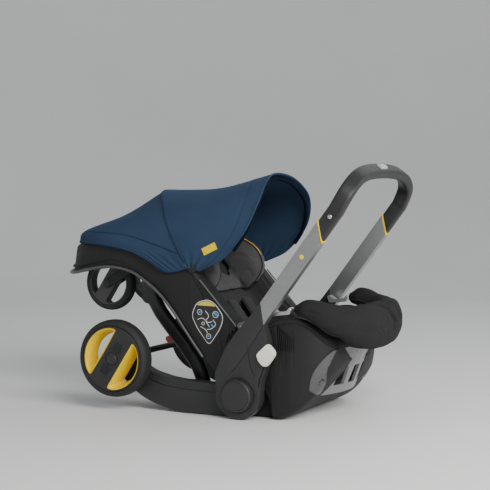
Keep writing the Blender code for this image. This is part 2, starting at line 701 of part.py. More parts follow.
def side_lathe(profile, side, centre, count):
    """A solid of revolution about Y whose profile starts and ends on the axis."""
    bm = bmesh.new()
    first = bm.verts.new((centre.x, side * profile[0][1], centre.z))
    last = bm.verts.new((centre.x, side * profile[-1][1], centre.z))
    rings = []
    for radius, y in profile[1:-1]:
        rings.append([bm.verts.new((centre.x + radius * math.cos(math.tau * i / count), side * y,
                                    centre.z + radius * math.sin(math.tau * i / count)))
                      for i in range(count)])
    for i in range(count):
        j = (i + 1) % count
        bm.faces.new((first, rings[0][i], rings[0][j]))
        bm.faces.new((last, rings[-1][j], rings[-1][i]))
        for low, high in zip(rings[:-1], rings[1:]):
            bm.faces.new((low[i], high[i], high[j], low[j]))
    return bm


def top_point(reach, lateral):
    """A side-view point near the crossbar: reach outwards along the bar, lateral across it."""
    ux, uz = math.cos(HANDLE_ANGLE), math.sin(HANDLE_ANGLE)
    return GRIP_TOP.x + reach * ux - lateral * uz, GRIP_TOP.z + reach * uz + lateral * ux


def build_grip():
    middle = 0.1805
    low_x, low_z = along(0.3560)
    mid_x, mid_z = along(0.4200)
    end_x, end_z = along(0.4320)
    half = [(low_x, -middle, low_z), (mid_x, -middle, mid_z), (end_x, -middle, end_z),
            (0.2285, -0.1705, 0.4650), (0.2350, -0.1420, 0.4880), (0.2355, -0.1040, 0.5000),
            (0.2335, -0.0520, 0.5050)]
    full = half + [tuple(GRIP_TOP)] + [(x, -y, z) for x, y, z in reversed(half)]
    path = smooth_path(full, 2)
    section = rounded([(-0.0105, -0.01625), (0.0105, -0.01625), (0.0105, 0.01625),
                       (-0.0105, 0.01625)], 0.0075, 2)
    up = (-math.sin(HANDLE_ANGLE), 0.0, math.cos(HANDLE_ANGLE))
    grip = add_object("grip", sweep(path, [section] * len(path), up), "trim", "grip")
    for _, side in SIDES:
        subtract(grip, side_prism(quad((0.4023, 0.024), (0.3590, -0.024),
                                       (0.3000, -0.024), (0.3000, 0.024)), side, 0.160, 0.200))
        x, z = along(PIN_ALONG)
        subtract(grip, side_prism(circle(x, z, PIN_RADIUS + GAP, 20), side, 0.1868, 0.200))
    inner = BAR_WIDTH / 2 - BAR_WALL - 0.0006
    for _, side in SIDES:
        outline = quad((0.215, inner), (0.215, -inner), (0.404, -inner), (0.404, inner))
        unite(grip, side_prism(outline, side, 0.1726, 0.1884, 0.0015, 1))
    recess = [top_point(a, b) for a, b in ((0.0020, -0.0079), (0.0300, -0.0079),
                                           (0.0300, 0.0079), (0.0020, 0.0079))]
    subtract(grip, prism(recess, -0.0169, 0.0169))
    button = rounded([top_point(a, b) for a, b in ((0.0065, -0.0075), (0.0135, -0.0075),
                                                   (0.0135, 0.0075), (0.0065, 0.0075))],
                     0.002, 2)
    add_object("grip_button", prism(button, -0.0165, 0.0165, 0.0015), "grey", "grip_button")
    for name, side in SIDES:
        x, z = along(PIN_ALONG)
        add_object("grip_pin_" + name, side_prism(circle(x, z, PIN_RADIUS, 20), side, 0.1890, 0.1930,
                                                  0.0008, 1), "silver", "grip_pin_" + name)


# ---------------------------------------------------------------- legs and wheels

def build_rear_legs():
    outline = hub_arc(LEG_DISC_RADIUS, -90, 151, 15)
    outline += [(-0.0560, 0.0640), (-0.0850, 0.0665), (-0.1200, 0.0680), (-0.1480, 0.0690),
                (-0.1830, 0.0740), (-0.2210, 0.0850), (-0.2500, 0.1050), (-0.2640, 0.1300),
                (-0.2830, 0.1400), (-0.3030, 0.1320), (-0.3110, 0.1120), (-0.3000, 0.0850),
                (-0.2760, 0.0560), (-0.2480, 0.0340), (-0.2180, 0.0190), (-0.1830, 0.0080),
                (-0.1500, 0.0012), (-0.1250, 0.0000), (-0.0300, 0.0000)]
    for name, side in SIDES:
        leg = add_object("rear_leg_" + name,
                         side_prism(outline, side, LEG_INNER, LEG_OUTER, 0.005, 1), "shell",
                         "rear_legs")
        hole = circle(REAR_WHEEL.x, REAR_WHEEL.z, AXLE_HOLE, 20)
        subtract(leg, side_prism(hole, side, 0.12, 0.19))
        hole = circle(FRONT_PIVOT.x, FRONT_PIVOT.z, ROD_HOLE, 20)
        subtract(leg, side_prism(hole, side, 0.12, 0.1520))
    axle = circle(REAR_WHEEL.x, REAR_WHEEL.z, AXLE_RADIUS, 20)
    add_object("rear_axle", prism(axle, -0.2120, 0.2120), "steel", "rear_legs")
    rod = circle(FRONT_PIVOT.x, FRONT_PIVOT.z, ROD_RADIUS, 20)
    add_object("fold_rod", prism(rod, -0.1515, 0.1515), "steel", "rear_legs")


def build_brake():
    pedal = rounded([(-0.3300, 0.1180), (-0.3180, 0.1260), (-0.2985, 0.1190), (-0.2915, 0.1050),
                     (-0.3000, 0.0960), (-0.3180, 0.1040)], 0.004, 2)
    pedal_obj = add_object("brake_pedal", prism(pedal, 0.0950, 0.1330, 0.002, 2), "red", "brake")
    subtract(pedal_obj, prism(circle(REAR_WHEEL.x, REAR_WHEEL.z, AXLE_HOLE, 20), 0.05, 0.17))


def d_outline(centre, opening, flip, inset=0.0):
    """A D-shaped opening: an arc of the wheel and a chord beside the middle band."""
    radius, chord = opening
    reach = radius - inset
    cut = chord + inset
    span = math.acos(cut / reach)
    normal = REAR_BAND_ANGLE + math.pi / 2 + (math.pi if flip else 0.0)
    points = [(reach * math.cos(normal + span * (k / 6 - 1.0)),
               reach * math.sin(normal + span * (k / 6 - 1.0))) for k in range(13)]
    return [(centre.x + x, centre.z + z) for x, z in points]


def build_rear_wheels():
    c = REAR_WHEEL
    tyre = [(0.0706, 0.1860), (0.0780, 0.1845), (0.0812, 0.1890), (0.0820, 0.1980),
            (0.0814, 0.2080), (0.0790, 0.2150), (0.0745, 0.2195), (0.0706, 0.2190)]
    for name, side in SIDES:
        add_object("rear_tyre_" + name, lathe([(r, side * y) for r, y in tyre], c, 30), "tyre",
                   "rear_wheel_" + name)
        face = [(0.0, 0.1885), (REAR_RIM_RADIUS, 0.1885), (REAR_RIM_RADIUS, 0.2180), (0.0660, 0.2196),
                (0.0300, 0.2170), (0.0, 0.2160)]
        rim = add_object("rear_rim_" + name, side_lathe(face, side, c, 28), "trim",
                         "rear_wheel_" + name)
        bore = side_prism(circle(c.x, c.z, AXLE_HOLE, 20), side, 0.10, 0.2130)
        subtract(rim, bore)
        for flip in (False, True):
            subtract(rim, side_prism(d_outline(c, REAR_OPENING, flip), side, 0.10, 0.30))
        plate = side_prism(circle(c.x, c.z, 0.0690, 28), side, 0.1850, 0.1878)
        dish = add_object("rear_dish_" + name, plate, "yellow", "rear_wheel_" + name)
        for flip in (False, True):
            wall = side_prism(d_outline(c, REAR_OPENING, flip, 0.0005), side, 0.1850, 0.2172)
            unite(dish, wall)
        for flip in (False, True):
            subtract(dish, side_prism(d_outline(c, REAR_OPENING, flip, 0.0030), side, 0.10,
                                      0.30))
        subtract(dish, side_prism(circle(c.x, c.z, AXLE_HOLE, 20), side, 0.10, 0.2130))
        cap = [(0.0, 0.2176), (0.0120, 0.2176), (0.0115, 0.2192), (0.0, REAR_FACE)]
        add_object("rear_cap_" + name, side_lathe(cap, side, c, 16), "trim",
                   "rear_wheel_" + name)


FRONT_LEG_LINE = ((FRONT_PIVOT.x, FRONT_PIVOT.z), (-0.1340, 0.0720), (-0.1520, 0.1060),
                  (-0.1900, 0.1520), (-0.2320, 0.2000), (-0.2550, 0.2440), (-0.2645, 0.2940))


def caster_axis():
    """Crown point and direction of a caster's swivel axis in the folded frame."""
    direction = Vector((0.981, 0.0, 0.194)).normalized()
    across = Vector((-direction.z, 0.0, direction.x))
    return FRONT_WHEEL + direction * CASTER_REACH + across * CASTER_OFFSET, direction


def front_leg_pieces(side):
    """One front leg: its tube, the eye round the fold rod and the block over the caster."""
    crown, direction = caster_axis()
    y = side * FRONT_MID
    path = smooth_path([(x, y, z) for x, z in FRONT_LEG_LINE], 2)
    section = rounded([(-0.0100, -0.0165), (0.0100, -0.0165), (0.0100, 0.0165),
                       (-0.0100, 0.0165)], 0.0065, 1)
    tube = sweep(path, [section] * len(path), (-0.7, 0, 0.7))
    eye = side_prism(circle(FRONT_PIVOT.x, FRONT_PIVOT.z, 0.0180, 16), side,
                     FRONT_MID - 0.0120, FRONT_MID + 0.0120)
    low = crown + direction * 0.0115
    high = crown + direction * 0.0330
    section = rounded([(-0.0115, -0.0200), (0.0115, -0.0200), (0.0115, 0.0105),
                       (-0.0115, 0.0105)], 0.004, 1)
    block = sweep([Vector((low.x, y, low.z)), Vector((high.x, y, high.z))], [section] * 2,
                  (0, 0, 1))
    return tube, eye, block


def build_front_legs():
    crown, direction = caster_axis()
    tube, eye, block = front_leg_pieces(-1.0)
    frame = add_object("front_frame", tube, "shell", "front_legs")
    bridge = prism(circle(-0.2620, 0.2330, 0.0140, 16), -0.1040, 0.1040)
    unite(frame, eye, block, bridge, *front_leg_pieces(1.0))
    subtract(frame, prism(circle(FRONT_PIVOT.x, FRONT_PIVOT.z, ROD_HOLE, 20), -0.15, 0.15))
    for _, side in SIDES:
        y = side * FRONT_MID
        low = crown - direction * 0.010
        high = crown + direction * 0.0260
        subtract(frame, sweep([Vector((low.x, y, low.z)), Vector((high.x, y, high.z))],
                              [ellipse(STEM_HOLE, STEM_HOLE, 16)] * 2, (0, 0, 1)))


def capsule(a, b, radius_a, radius_b, count=6):
    """A side-view outline around two points."""
    axis = math.atan2(b[1] - a[1], b[0] - a[0])
    out = [(a[0] + radius_a * math.cos(axis + math.pi / 2 + math.pi * k / (count - 1)),
            a[1] + radius_a * math.sin(axis + math.pi / 2 + math.pi * k / (count - 1)))
           for k in range(count)]
    out += [(b[0] + radius_b * math.cos(axis - math.pi / 2 + math.pi * k / (count - 1)),
             b[1] + radius_b * math.sin(axis - math.pi / 2 + math.pi * k / (count - 1)))
            for k in range(count)]
    return out


def build_casters():
    crown, direction = caster_axis()
    c = FRONT_WHEEL
    half = FRONT_THICK / 2
    for name, side in SIDES:
        pivot = "caster_" + name
        y = side * FRONT_MID
        arm = capsule((crown.x, crown.z), (c.x, c.z), 0.0110, 0.0100)
        near = prism(arm, y - half - 0.0056, y - half - 0.0012, 0.0012, 1)
        far = prism(arm, y + half + 0.0012, y + half + 0.0056, 0.0012, 1)
        head = prism(circle(crown.x, crown.z, 0.0100, 14), y - half - 0.0050, y + half + 0.0050)
        axle = prism(circle(c.x, c.z, 0.0040, 12), y - half - 0.0050, y + half + 0.0050)
        a = crown + direction * 0.0020
        b = crown + direction * 0.0240
        stem = sweep([Vector((a.x, y, a.z)), Vector((b.x, y, b.z))],
                     [ellipse(STEM_RADIUS, STEM_RADIUS, 16)] * 2, (0, 0, 1))
        fork = add_object("caster_fork_" + name, near, "trim", pivot)
        for piece in (head, far, axle, stem):
            unite(fork, piece)
        wheel = "front_wheel_" + name
        tyre = [(0.0480, -half), (0.0560, -half), (0.0590, -half * 0.55), (FRONT_RADIUS, 0.0),
                (0.0590, half * 0.55), (0.0560, half), (0.0480, half)]
        add_object("front_tyre_" + name, lathe([(r, y + t) for r, t in tyre], c, 26), "tyre",
                   wheel)
        ring = [(0.0043, -half), (0.0475, -half + 0.0015), (0.0475, half - 0.0015),
                (0.0043, half)]
        rim = add_object("front_rim_" + name, lathe([(r, y + t) for r, t in ring], c, 24),
                         "trim", wheel)
        for flip in (False, True):
            opening = d_outline(c, FRONT_OPENING, flip)
            subtract(rim, prism(opening, y - 0.05, y + 0.05))


def build_small_parts():
    """Belt guides on both sides of the rim, and the frame's release lever at the head end."""
    for name, side in SIDES:
        hook = rounded([(0.0660, 0.2120), (0.1010, 0.2170), (0.1060, 0.2290), (0.1010, 0.2320),
                        (0.0960, 0.2230), (0.0720, 0.2200), (0.0620, 0.2300), (0.0560, 0.2270),
                        (0.0600, 0.2140)], 0.0015, 1)
        add_object("belt_guide_" + name, side_prism(hook, side, 0.1440, 0.1620, 0.0008, 1),
                   "silver", "seat")
    lever = rounded([(-0.4400, 0.2860), (-0.4180, 0.2870), (-0.4150, 0.2960), (-0.4240, 0.3030),
                     (-0.4400, 0.2980)], 0.004, 2)
    add_object("release_lever", prism(lever, -0.0450, 0.0450, 0.002, 2), "grey", "lever")


def build_pivots():
    crown, _ = caster_axis()
    add_pivot("seat", (0.0, 0.0, 0.0))
    add_pivot("button", (0.0280, 0.0, 0.1180), "seat")
    add_pivot("lever", (-0.4240, 0.0, 0.2980), "seat")
    add_pivot("canopy", CANOPY_PIVOT, "seat")
    add_pivot("handle", HUB, "seat")
    add_pivot("grip", GRIP_TOP, "handle")
    add_pivot("grip_button", GRIP_TOP, "grip")
    add_pivot("rear_legs", HUB, "seat")
    add_pivot("brake", REAR_WHEEL, "rear_legs")
    add_pivot("front_legs", FRONT_PIVOT, "rear_legs")
    for name, side in SIDES:
        add_pivot("handle_tab_" + name, (0.0650, side * 0.1930, 0.1360), "handle")
        x, z = along(PIN_ALONG)
        add_pivot("grip_pin_" + name, (x, side * 0.1910, z), "grip")
        add_pivot("rear_wheel_" + name, (REAR_WHEEL.x, side * 0.2, REAR_WHEEL.z), "rear_legs")
        add_pivot("caster_" + name, (crown.x, side * FRONT_MID, crown.z), "front_legs")
        add_pivot("front_wheel_" + name, (FRONT_WHEEL.x, side * FRONT_MID, FRONT_WHEEL.z),
                  "caster_" + name)


def main():
    clear_scene()
    build_pivots()
    build_shell()
    build_guard()
    build_lip()
    build_side_trims()
    build_liner()
    build_pillow()
    build_pad()
    build_bumper()
    build_straps()
    build_buckle()
    build_canopy()
    build_arms()
    build_bars()
    build_grip()
    build_rear_legs()
    build_brake()
    build_rear_wheels()
    build_front_legs()
    build_casters()
    build_small_parts()


main()
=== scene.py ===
import math

import bmesh
import bpy
import numpy as np
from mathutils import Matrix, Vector, noise


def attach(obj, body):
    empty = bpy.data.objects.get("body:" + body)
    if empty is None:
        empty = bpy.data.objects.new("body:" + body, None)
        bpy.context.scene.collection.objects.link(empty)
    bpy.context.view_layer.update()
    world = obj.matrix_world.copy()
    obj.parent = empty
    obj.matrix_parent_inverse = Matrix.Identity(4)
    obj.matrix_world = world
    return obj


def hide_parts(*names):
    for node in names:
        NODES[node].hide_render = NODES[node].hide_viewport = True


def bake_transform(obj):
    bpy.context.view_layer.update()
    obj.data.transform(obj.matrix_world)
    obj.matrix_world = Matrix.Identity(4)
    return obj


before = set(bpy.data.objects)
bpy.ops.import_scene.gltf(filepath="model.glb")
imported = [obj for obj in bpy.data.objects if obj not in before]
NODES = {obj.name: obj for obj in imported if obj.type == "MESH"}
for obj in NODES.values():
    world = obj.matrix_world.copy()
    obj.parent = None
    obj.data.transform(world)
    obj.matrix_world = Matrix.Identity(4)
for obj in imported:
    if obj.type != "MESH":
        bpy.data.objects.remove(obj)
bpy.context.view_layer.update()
SIDES = (("right", -1.0), ("left", 1.0))
HUB = Vector((0.0, 0.0, 0.05))
PIVOT = (-0.118, 0.305)
BEYOND = 0.2
WELD = 1e-6
WAVE_TURN = 6.2832


# ------------------------------------------------------------------ shader helpers

class Shader:
    """A Principled material and short calls that add nodes to it."""

    def __init__(self, name, colour, roughness=0.5, metallic=0.0):
        self.mat = bpy.data.materials.new(name)
        self.mat.use_nodes = True
        self.tree = self.mat.node_tree
        self.bsdf = self.tree.nodes["Principled BSDF"]
        self.set("Base Color", (*colour, 1.0))
        self.set("Roughness", roughness)
        self.set("Metallic", metallic)
        self.coords = self.tree.nodes.new("ShaderNodeTexCoord")

    def set(self, socket, value):
        self.bsdf.inputs[socket].default_value = value

    def link(self, a, b):
        self.tree.links.new(a, b)

    def add(self, kind, output, settings=(), **values):
        """A new node, with its sockets set or linked by name, and one of its outputs."""
        node = self.tree.nodes.new("ShaderNode" + kind)
        for name, value in settings:
            setattr(node, name, value)
        for name, value in values.items():
            socket = node.inputs[name.replace("_", " ")]
            if isinstance(value, bpy.types.NodeSocket):
                self.link(value, socket)
            else:
                socket.default_value = value
        return node.outputs[output]

    def place(self, scale=(1, 1, 1), space="Object", rotation=(0, 0, 0)):
        return self.add("Mapping", "Vector", Scale=scale, Rotation=rotation,
                        Vector=self.coords.outputs[space])

    def noise(self, scale, detail=3.0, vector=None, roughness=0.5):
        return self.add("TexNoise", "Fac", Scale=scale, Detail=detail, Roughness=roughness,
                        Vector=vector or self.coords.outputs["Object"])

    def wave(self, scale, vector, direction, distortion):
        return self.add("TexWave", "Fac", [("bands_direction", direction)], Scale=scale,
                        Distortion=distortion, Vector=vector)

    def math(self, operation, a, b):
        node = self.tree.nodes.new("ShaderNodeMath")
        node.operation = operation
        for socket, value in zip(node.inputs, (a, b)):
            if isinstance(value, (int, float)):
                socket.default_value = value
            else:
                self.link(value, socket)
        return node.outputs[0]

    def span(self, value, low, high, from_low=0.0, from_high=1.0):
        """Map a value between two limits to a new low and high."""
        return self.add("MapRange", "Result", From_Min=from_low, From_Max=from_high, To_Min=low,
                        To_Max=high, Value=value)

    def tint(self, value, low, high):
        """Blend the base colour between two colours by a 0-1 value."""
        node = self.tree.nodes.new("ShaderNodeMix")
        node.data_type = "RGBA"
        node.inputs[6].default_value = (*low, 1.0)
        node.inputs[7].default_value = (*high, 1.0)
        self.link(value, node.inputs[0])
        return node.outputs[2]

    def base(self, output):
        self.link(output, self.bsdf.inputs["Base Color"])

    def rough(self, output):
        self.link(output, self.bsdf.inputs["Roughness"])

    def bump(self, height, strength, distance, below=None):
        """Raise the surface by a height, on top of an earlier bump if there is one."""
        under = {"Normal": below} if below else {}
        normal = self.add("Bump", "Normal", Strength=strength, Distance=distance, Height=height,
                          **under)
        self.link(normal, self.bsdf.inputs["Normal"])
        return normal


def shade(colour, factor):
    """A colour made lighter or darker, at most 1 in each channel."""
    return tuple(min(1.0, c * factor) for c in colour)


def moulded(name, colour, roughness, grain=0.35, coat=0.0, specular=0.38):
    """Moulded plastic: fine spark-eroded grain, cloudy sheen, a few soft scuffs."""
    s = Shader(name, colour, roughness)
    cloud = s.noise(9.0, 4.0)
    scuff = s.noise(60.0, 6.0, s.place((1.0, 1.0, 4.0)), 0.7)
    s.base(s.tint(s.math("MULTIPLY", cloud, scuff), shade(colour, 0.8), shade(colour, 1.35)))
    s.rough(s.span(s.math("ADD", cloud, scuff), roughness - 0.1, roughness + 0.13, 0.6, 1.4))
    fine = s.noise(1400.0, 2.0)
    soft = s.bump(cloud, 0.05, 0.002)
    s.bump(fine, grain, 0.00012, soft)
    s.set("Specular IOR Level", specular)
    if coat:
        s.set("Coat Weight", coat)
        s.set("Coat Roughness", 0.25)
    return s.mat


def woven(name, colour, thread=1500.0, contrast=0.3, sheen=0.35, roughness=0.9, space="UV",
          heather=0.25, wrinkle=0.2):
    """Plain weave: crossing threads, a melange of lighter fibres, soft rumple and sheen."""
    s = Shader(name, colour, roughness)
    grid = s.place((1, 1, 1), space)
    warp = s.wave(thread / WAVE_TURN, grid, "X", 0.3)
    weft = s.wave(thread / WAVE_TURN, grid, "Y", 0.3)
    weave = s.math("MULTIPLY", warp, weft)
    fibre = s.noise(900.0, 3.0)
    blotch = s.noise(14.0, 3.0)
    lift = s.math("ADD", s.math("MULTIPLY", weave, contrast), s.math("MULTIPLY", fibre, heather))
    lift = s.math("ADD", lift, s.math("MULTIPLY", blotch, 0.35))
    s.base(s.tint(lift, shade(colour, 0.72), shade(colour, 1.55)))
    s.rough(s.span(fibre, roughness - 0.08, min(1.0, roughness + 0.08)))
    folds = s.noise(22.0, 3.0)
    rumple = s.bump(folds, wrinkle, 0.006)
    s.bump(s.math("ADD", weave, s.math("MULTIPLY", fibre, 0.6)), 0.5, 0.00025, rumple)
    s.set("Sheen Weight", sheen)
    s.set("Sheen Roughness", 0.45)
    s.set("Sheen Tint", (*shade(colour, 5.0), 1.0))
    s.set("Specular IOR Level", 0.1)
    return s.mat


def brushed(name, colour, roughness, direction):
    """Brushed and clear-coated aluminium with fine streaks along a direction."""
    s = Shader(name, colour, roughness, 0.85)
    axis = Vector(direction).normalized()
    turn = axis.to_track_quat("X", "Z").to_euler()
    streak_space = s.place((18.0, 1600.0, 1600.0), "Object", tuple(turn))
    streak = s.noise(1.0, 4.0, streak_space)
    cloud = s.noise(16.0, 3.0)
    s.base(s.tint(streak, shade(colour, 0.8), shade(colour, 1.18)))
    s.rough(s.span(s.math("ADD", streak, cloud), roughness - 0.08, roughness + 0.12, 0.6, 1.4))
    s.bump(streak, 0.25, 0.00008)
    return s.mat


def rubber(name, colour):
    """Matt rubber with a little dust."""
    s = Shader(name, colour, 0.72)
    dust = s.noise(25.0, 6.0, None, 0.65)
    s.base(s.tint(dust, colour, shade(colour, 2.1)))
    s.rough(s.span(dust, 0.62, 0.86))
    s.bump(s.noise(900.0, 3.0), 0.35, 0.0002)
    return s.mat


SHELL = moulded("shell_plastic", (0.0145, 0.0145, 0.0148), 0.56, 0.35, 0.0, 0.26)
ARM = moulded("arm_plastic", (0.025, 0.0251, 0.0255), 0.44)
TRIM = moulded("trim_plastic", (0.011, 0.0112, 0.0118), 0.5)
GREY = moulded("grey_plastic", (0.15, 0.15, 0.155), 0.42)
PALE = moulded("pale_button_plastic", (0.48, 0.48, 0.47), 0.4, 0.2)
STRIP = moulded("strip_plastic", (0.11, 0.11, 0.113), 0.4, 0.2)
YELLOW = moulded("yellow_plastic", (0.95, 0.6, 0.001), 0.5, 0.15, 0.0, 0.22)
CREAM = moulded("cream_plastic", (0.93, 0.9, 0.78), 0.42, 0.2)
RED = moulded("red_plastic", (0.42, 0.022, 0.016), 0.38, 0.15, 0.2)
TYRE = rubber("tyre_rubber", (0.0075, 0.0075, 0.0078))
BARS = brushed("bar_aluminium", (0.33, 0.331, 0.336), 0.38, (0.598, 0.0, 0.802))
BRIGHT = brushed("bright_aluminium", (0.52, 0.52, 0.53), 0.3, (0.6, 0.0, -0.8))
STEEL = brushed("axle_steel", (0.42, 0.42, 0.43), 0.32, (0.0, 1.0, 0.0))
CANOPY = woven("canopy_cloth", (0.0235, 0.044, 0.081), 1500.0, 0.35, 0.1)
# Canopy lining: its own dark blue, set darker still as painted shade for the hood's shaded inside.
CANOPY_LINING_SHADED = woven("canopy_lining_painted_shade", (0.0018, 0.0055, 0.013), 1500.0, 0.25, 0.03)
PIPING = woven("canopy_piping", (0.012, 0.026, 0.052), 2600.0, 0.3, 0.25, 0.85, "Object")
CLOTH = woven("seat_cloth", (0.034, 0.034, 0.035), 1300.0, 0.4, 0.35, 0.92, "Object")
CLOTH_SOFT = woven("bumper_cloth", (0.019, 0.019, 0.0196), 1100.0, 0.4, 0.1, 0.95, "Object")
# Pillow cloth: its own paler grey, raised further as painted light so the shaded head end reads
# lighter.
PILLOW_PAINTED_LIGHT = woven("pillow_cloth_painted_light", (0.07, 0.069, 0.07), 1100.0, 0.4, 0.4, 0.95, "Object")
CORD = woven("seat_piping", (0.028, 0.028, 0.029), 2600.0, 0.3, 0.25, 0.85, "Object")
WEB = woven("webbing", (0.012, 0.012, 0.013), 2200.0, 0.6, 0.15, 0.75, "Object")
ACCENT = woven("accent_thread", (0.7, 0.33, 0.02), 2600.0, 0.2, 0.2, 0.8, "Object")


# ------------------------------------------------------------------ mesh helpers

def keep(obj, name, mats, smooth=35.0):
    """Name an object, give it its materials and shade it by angle."""
    obj.name = name
    obj.data.name = name
    obj.data.materials.clear()
    for m in (mats if isinstance(mats, (list, tuple)) else [mats]):
        obj.data.materials.append(m)
    if smooth:
        smooth_all(obj)
        obj.data.set_sharp_from_angle(angle=math.radians(smooth))
    return obj


def smooth_all(obj):
    """Shade every face smooth."""
    obj.data.polygons.foreach_set("use_smooth", [True] * len(obj.data.polygons))


def new_mesh(name, bm, mats, smooth=35.0, merge=WELD):
    """A new object from a bmesh, welded and with its faces pointing out."""
    bmesh.ops.remove_doubles(bm, verts=bm.verts, dist=merge)
    bmesh.ops.recalc_face_normals(bm, faces=bm.faces)
    mesh = bpy.data.meshes.new(name)
    bm.to_mesh(mesh)
    bm.free()
    obj = bpy.data.objects.new(name, mesh)
    bpy.context.scene.collection.objects.link(obj)
    return keep(obj, name, mats, smooth)


def apply_all(obj):
    """Replace a mesh by what its modifiers make of it."""
    bpy.context.view_layer.update()
    graph = bpy.context.evaluated_depsgraph_get()
    made = bpy.data.meshes.new_from_object(obj.evaluated_get(graph))
    obj.modifiers.clear()
    obj.data = made
    made.name = obj.name
    return obj


def loft(rings, closed_path=False):
    """A skin over rings of equal count, capped at both ends or closed on itself."""
    bm = bmesh.new()
    grid = [[bm.verts.new(p) for p in ring] for ring in rings]
    count = len(grid[0])
    pairs = list(zip(grid[:-1], grid[1:]))
    if closed_path:
        pairs.append((grid[-1], grid[0]))
    for low, high in pairs:
        for i in range(count):
            j = (i + 1) % count
            bm.faces.new((low[i], low[j], high[j], high[i]))
    if not closed_path:
        bm.faces.new(grid[0])
        bm.faces.new(grid[-1])
    return bm


def spline_point(a, b, c, d, t):
    """A point between b and c on the smooth curve through four points."""
    return 0.5 * (2 * b + (c - a) * t + (2 * a - 5 * b + 4 * c - d) * t * t
                  + (3 * b - a - 3 * c + d) * t ** 3)


def curve_through(points, per_span):
    """A smooth curve through points, with a number of steps between each two."""
    pts = [Vector(p) for p in points]
    pts = [pts[0] * 2 - pts[1]] + pts + [pts[-1] * 2 - pts[-2]]
    out = []
    for i in range(1, len(pts) - 2):
        out += [spline_point(*pts[i - 1:i + 3], k / per_span) for k in range(per_span)]
    out.append(pts[-2])
    return out


def mirrored(half, middle=()):
    """A path from one side, over points on the middle plane, to the other side."""
    right = [(x, -y, *rest) for x, y, *rest in half]
    return right + list(middle) + [(x, y, *rest) for x, y, *rest in reversed(half)]


def tangent_at(path, i):
    """The direction of a path of points at one of them."""
    return (path[min(i + 1, len(path) - 1)] - path[max(i - 1, 0)]).normalized()


def tube(name, path, radius, mats, count=8, flat=1.0):
    """A round or oval cord along a path."""
    rings = []
    side = None
    for i, p in enumerate(path):
        tangent = tangent_at(path, i)
        if side is None:
            side = tangent.orthogonal().normalized()
        side = (side - tangent * side.dot(tangent)).normalized()
        lift = tangent.cross(side)
        rings.append([p + side * (radius * math.cos(math.tau * k / count))
                      + lift * (radius * flat * math.sin(math.tau * k / count)) for k in range(count)])
    return new_mesh(name, loft(rings), mats, 60.0)


def prism(outline, y_low, y_high, bevel=0.0, segments=3):
    """A side-view outline carried across from one y to another."""
    bm = bmesh.new()
    near = [bm.verts.new((p[0], y_low, p[1])) for p in outline]
    far = [bm.verts.new((p[0], y_high, p[1])) for p in outline]
    caps = [bm.faces.new(near), bm.faces.new(list(reversed(far)))]
    count = len(near)
    for i in range(count):
        j = (i + 1) % count
        bm.faces.new((near[i], far[i], far[j], near[j]))
    if bevel > 0.0:
        edges = list({e for cap in caps for e in cap.edges})
        bmesh.ops.bevel(bm, geom=edges, offset=bevel, segments=segments, profile=0.5,
                        affect="EDGES", clamp_overlap=True)
    return bm


def side_prism(outline, side, inner, outer, bevel=0.0, segments=3):
    """A prism between two distances from the middle plane, on one side."""
    low, high = sorted((side * inner, side * outer))
    return prism(outline, low, high, bevel, segments)


def bend(start, corner, end, steps):
    """A bend from start to end that is drawn towards a corner."""
    return [start * (1 - t) ** 2 + corner * (2 * t * (1 - t)) + end * t * t
            for t in (k / steps for k in range(steps + 1))]


def round_corner(before, corner, after, radius, steps, share=0.48):
    """A corner's bend, which takes at most a share of each neighbouring side."""
    back, ahead = before - corner, after - corner
    start = corner + back.normalized() * min(radius, back.length * share)
    end = corner + ahead.normalized() * min(radius, ahead.length * share)
    return bend(start, corner, end, steps)


def rounded(points, radius, steps=5):
    """An outline with every corner rounded by one radius."""
    pts = [Vector(p) for p in points]
    result = []
    for i, corner in enumerate(pts):
        result += round_corner(pts[i - 1], corner, pts[(i + 1) % len(pts)], radius, steps)
    return result


def hub_arc(radius, angles):
    """Points round the hub, by their angles in degrees from the foot end."""
    return [(HUB.x + radius * math.cos(math.radians(a)), HUB.z + radius * math.sin(math.radians(a)))
            for a in angles]


def circle(x, z, radius, count=48):
    """A round side-view outline."""
    return [(x + radius * math.cos(math.tau * i / count), z + radius * math.sin(math.tau * i / count))
            for i in range(count)]


def cut(obj, bm):
    """Take a closed shape away from an object."""
    mesh = bpy.data.meshes.new("tool")
    bmesh.ops.recalc_face_normals(bm, faces=bm.faces)
    bm.to_mesh(mesh)
    bm.free()
    tool = bpy.data.objects.new("tool", mesh)
    bpy.context.scene.collection.objects.link(tool)
    modifier = obj.modifiers.new("cut", "BOOLEAN")
    modifier.operation = "DIFFERENCE"
    modifier.solver = "EXACT"
    modifier.object = tool
    apply_all(obj)
    bpy.data.objects.remove(tool, do_unlink=True)
    return obj


def soften(obj, width=0.0012, segments=3, angle=28.0):
    """Round every hard edge, then shade by the rounded faces."""
    modifier = obj.modifiers.new("soft", "BEVEL")
    modifier.width = width
    modifier.segments = segments
    modifier.limit_method = "ANGLE"
    modifier.angle_limit = math.radians(angle)
    modifier.harden_normals = False
    apply_all(obj)
    smooth_all(obj)
    obj.data.set_sharp_from_angle(angle=math.radians(50.0))
    return obj


def copy_node(node, name, mats):
    """A free copy of a CAD node's mesh to work on."""
    obj = bpy.data.objects.new(name, NODES[node].data.copy())
    bpy.context.scene.collection.objects.link(obj)
    return keep(obj, name, mats)


def show(obj, body, *nodes):
    """Let a piece ride on a body, in place of the CAD nodes named."""
    if nodes:
        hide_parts(*nodes)
    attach(obj, body)
    return obj


def shown_name(node):
    """The name of a node's visible piece: shown goes before the side."""
    for name, _ in SIDES:
        if node.endswith("_" + name):
            return node[:-len(name)] + "shown_" + name
    return node + "_shown"


def soft_copy(node, mats, width, segments, body, angle=28.0):
    """A CAD node's own shape with its edges rounded, shown in its place."""
    return show(soften(copy_node(node, shown_name(node), mats), width, segments, angle), body, node)


# ------------------------------------------------------------------ canopy

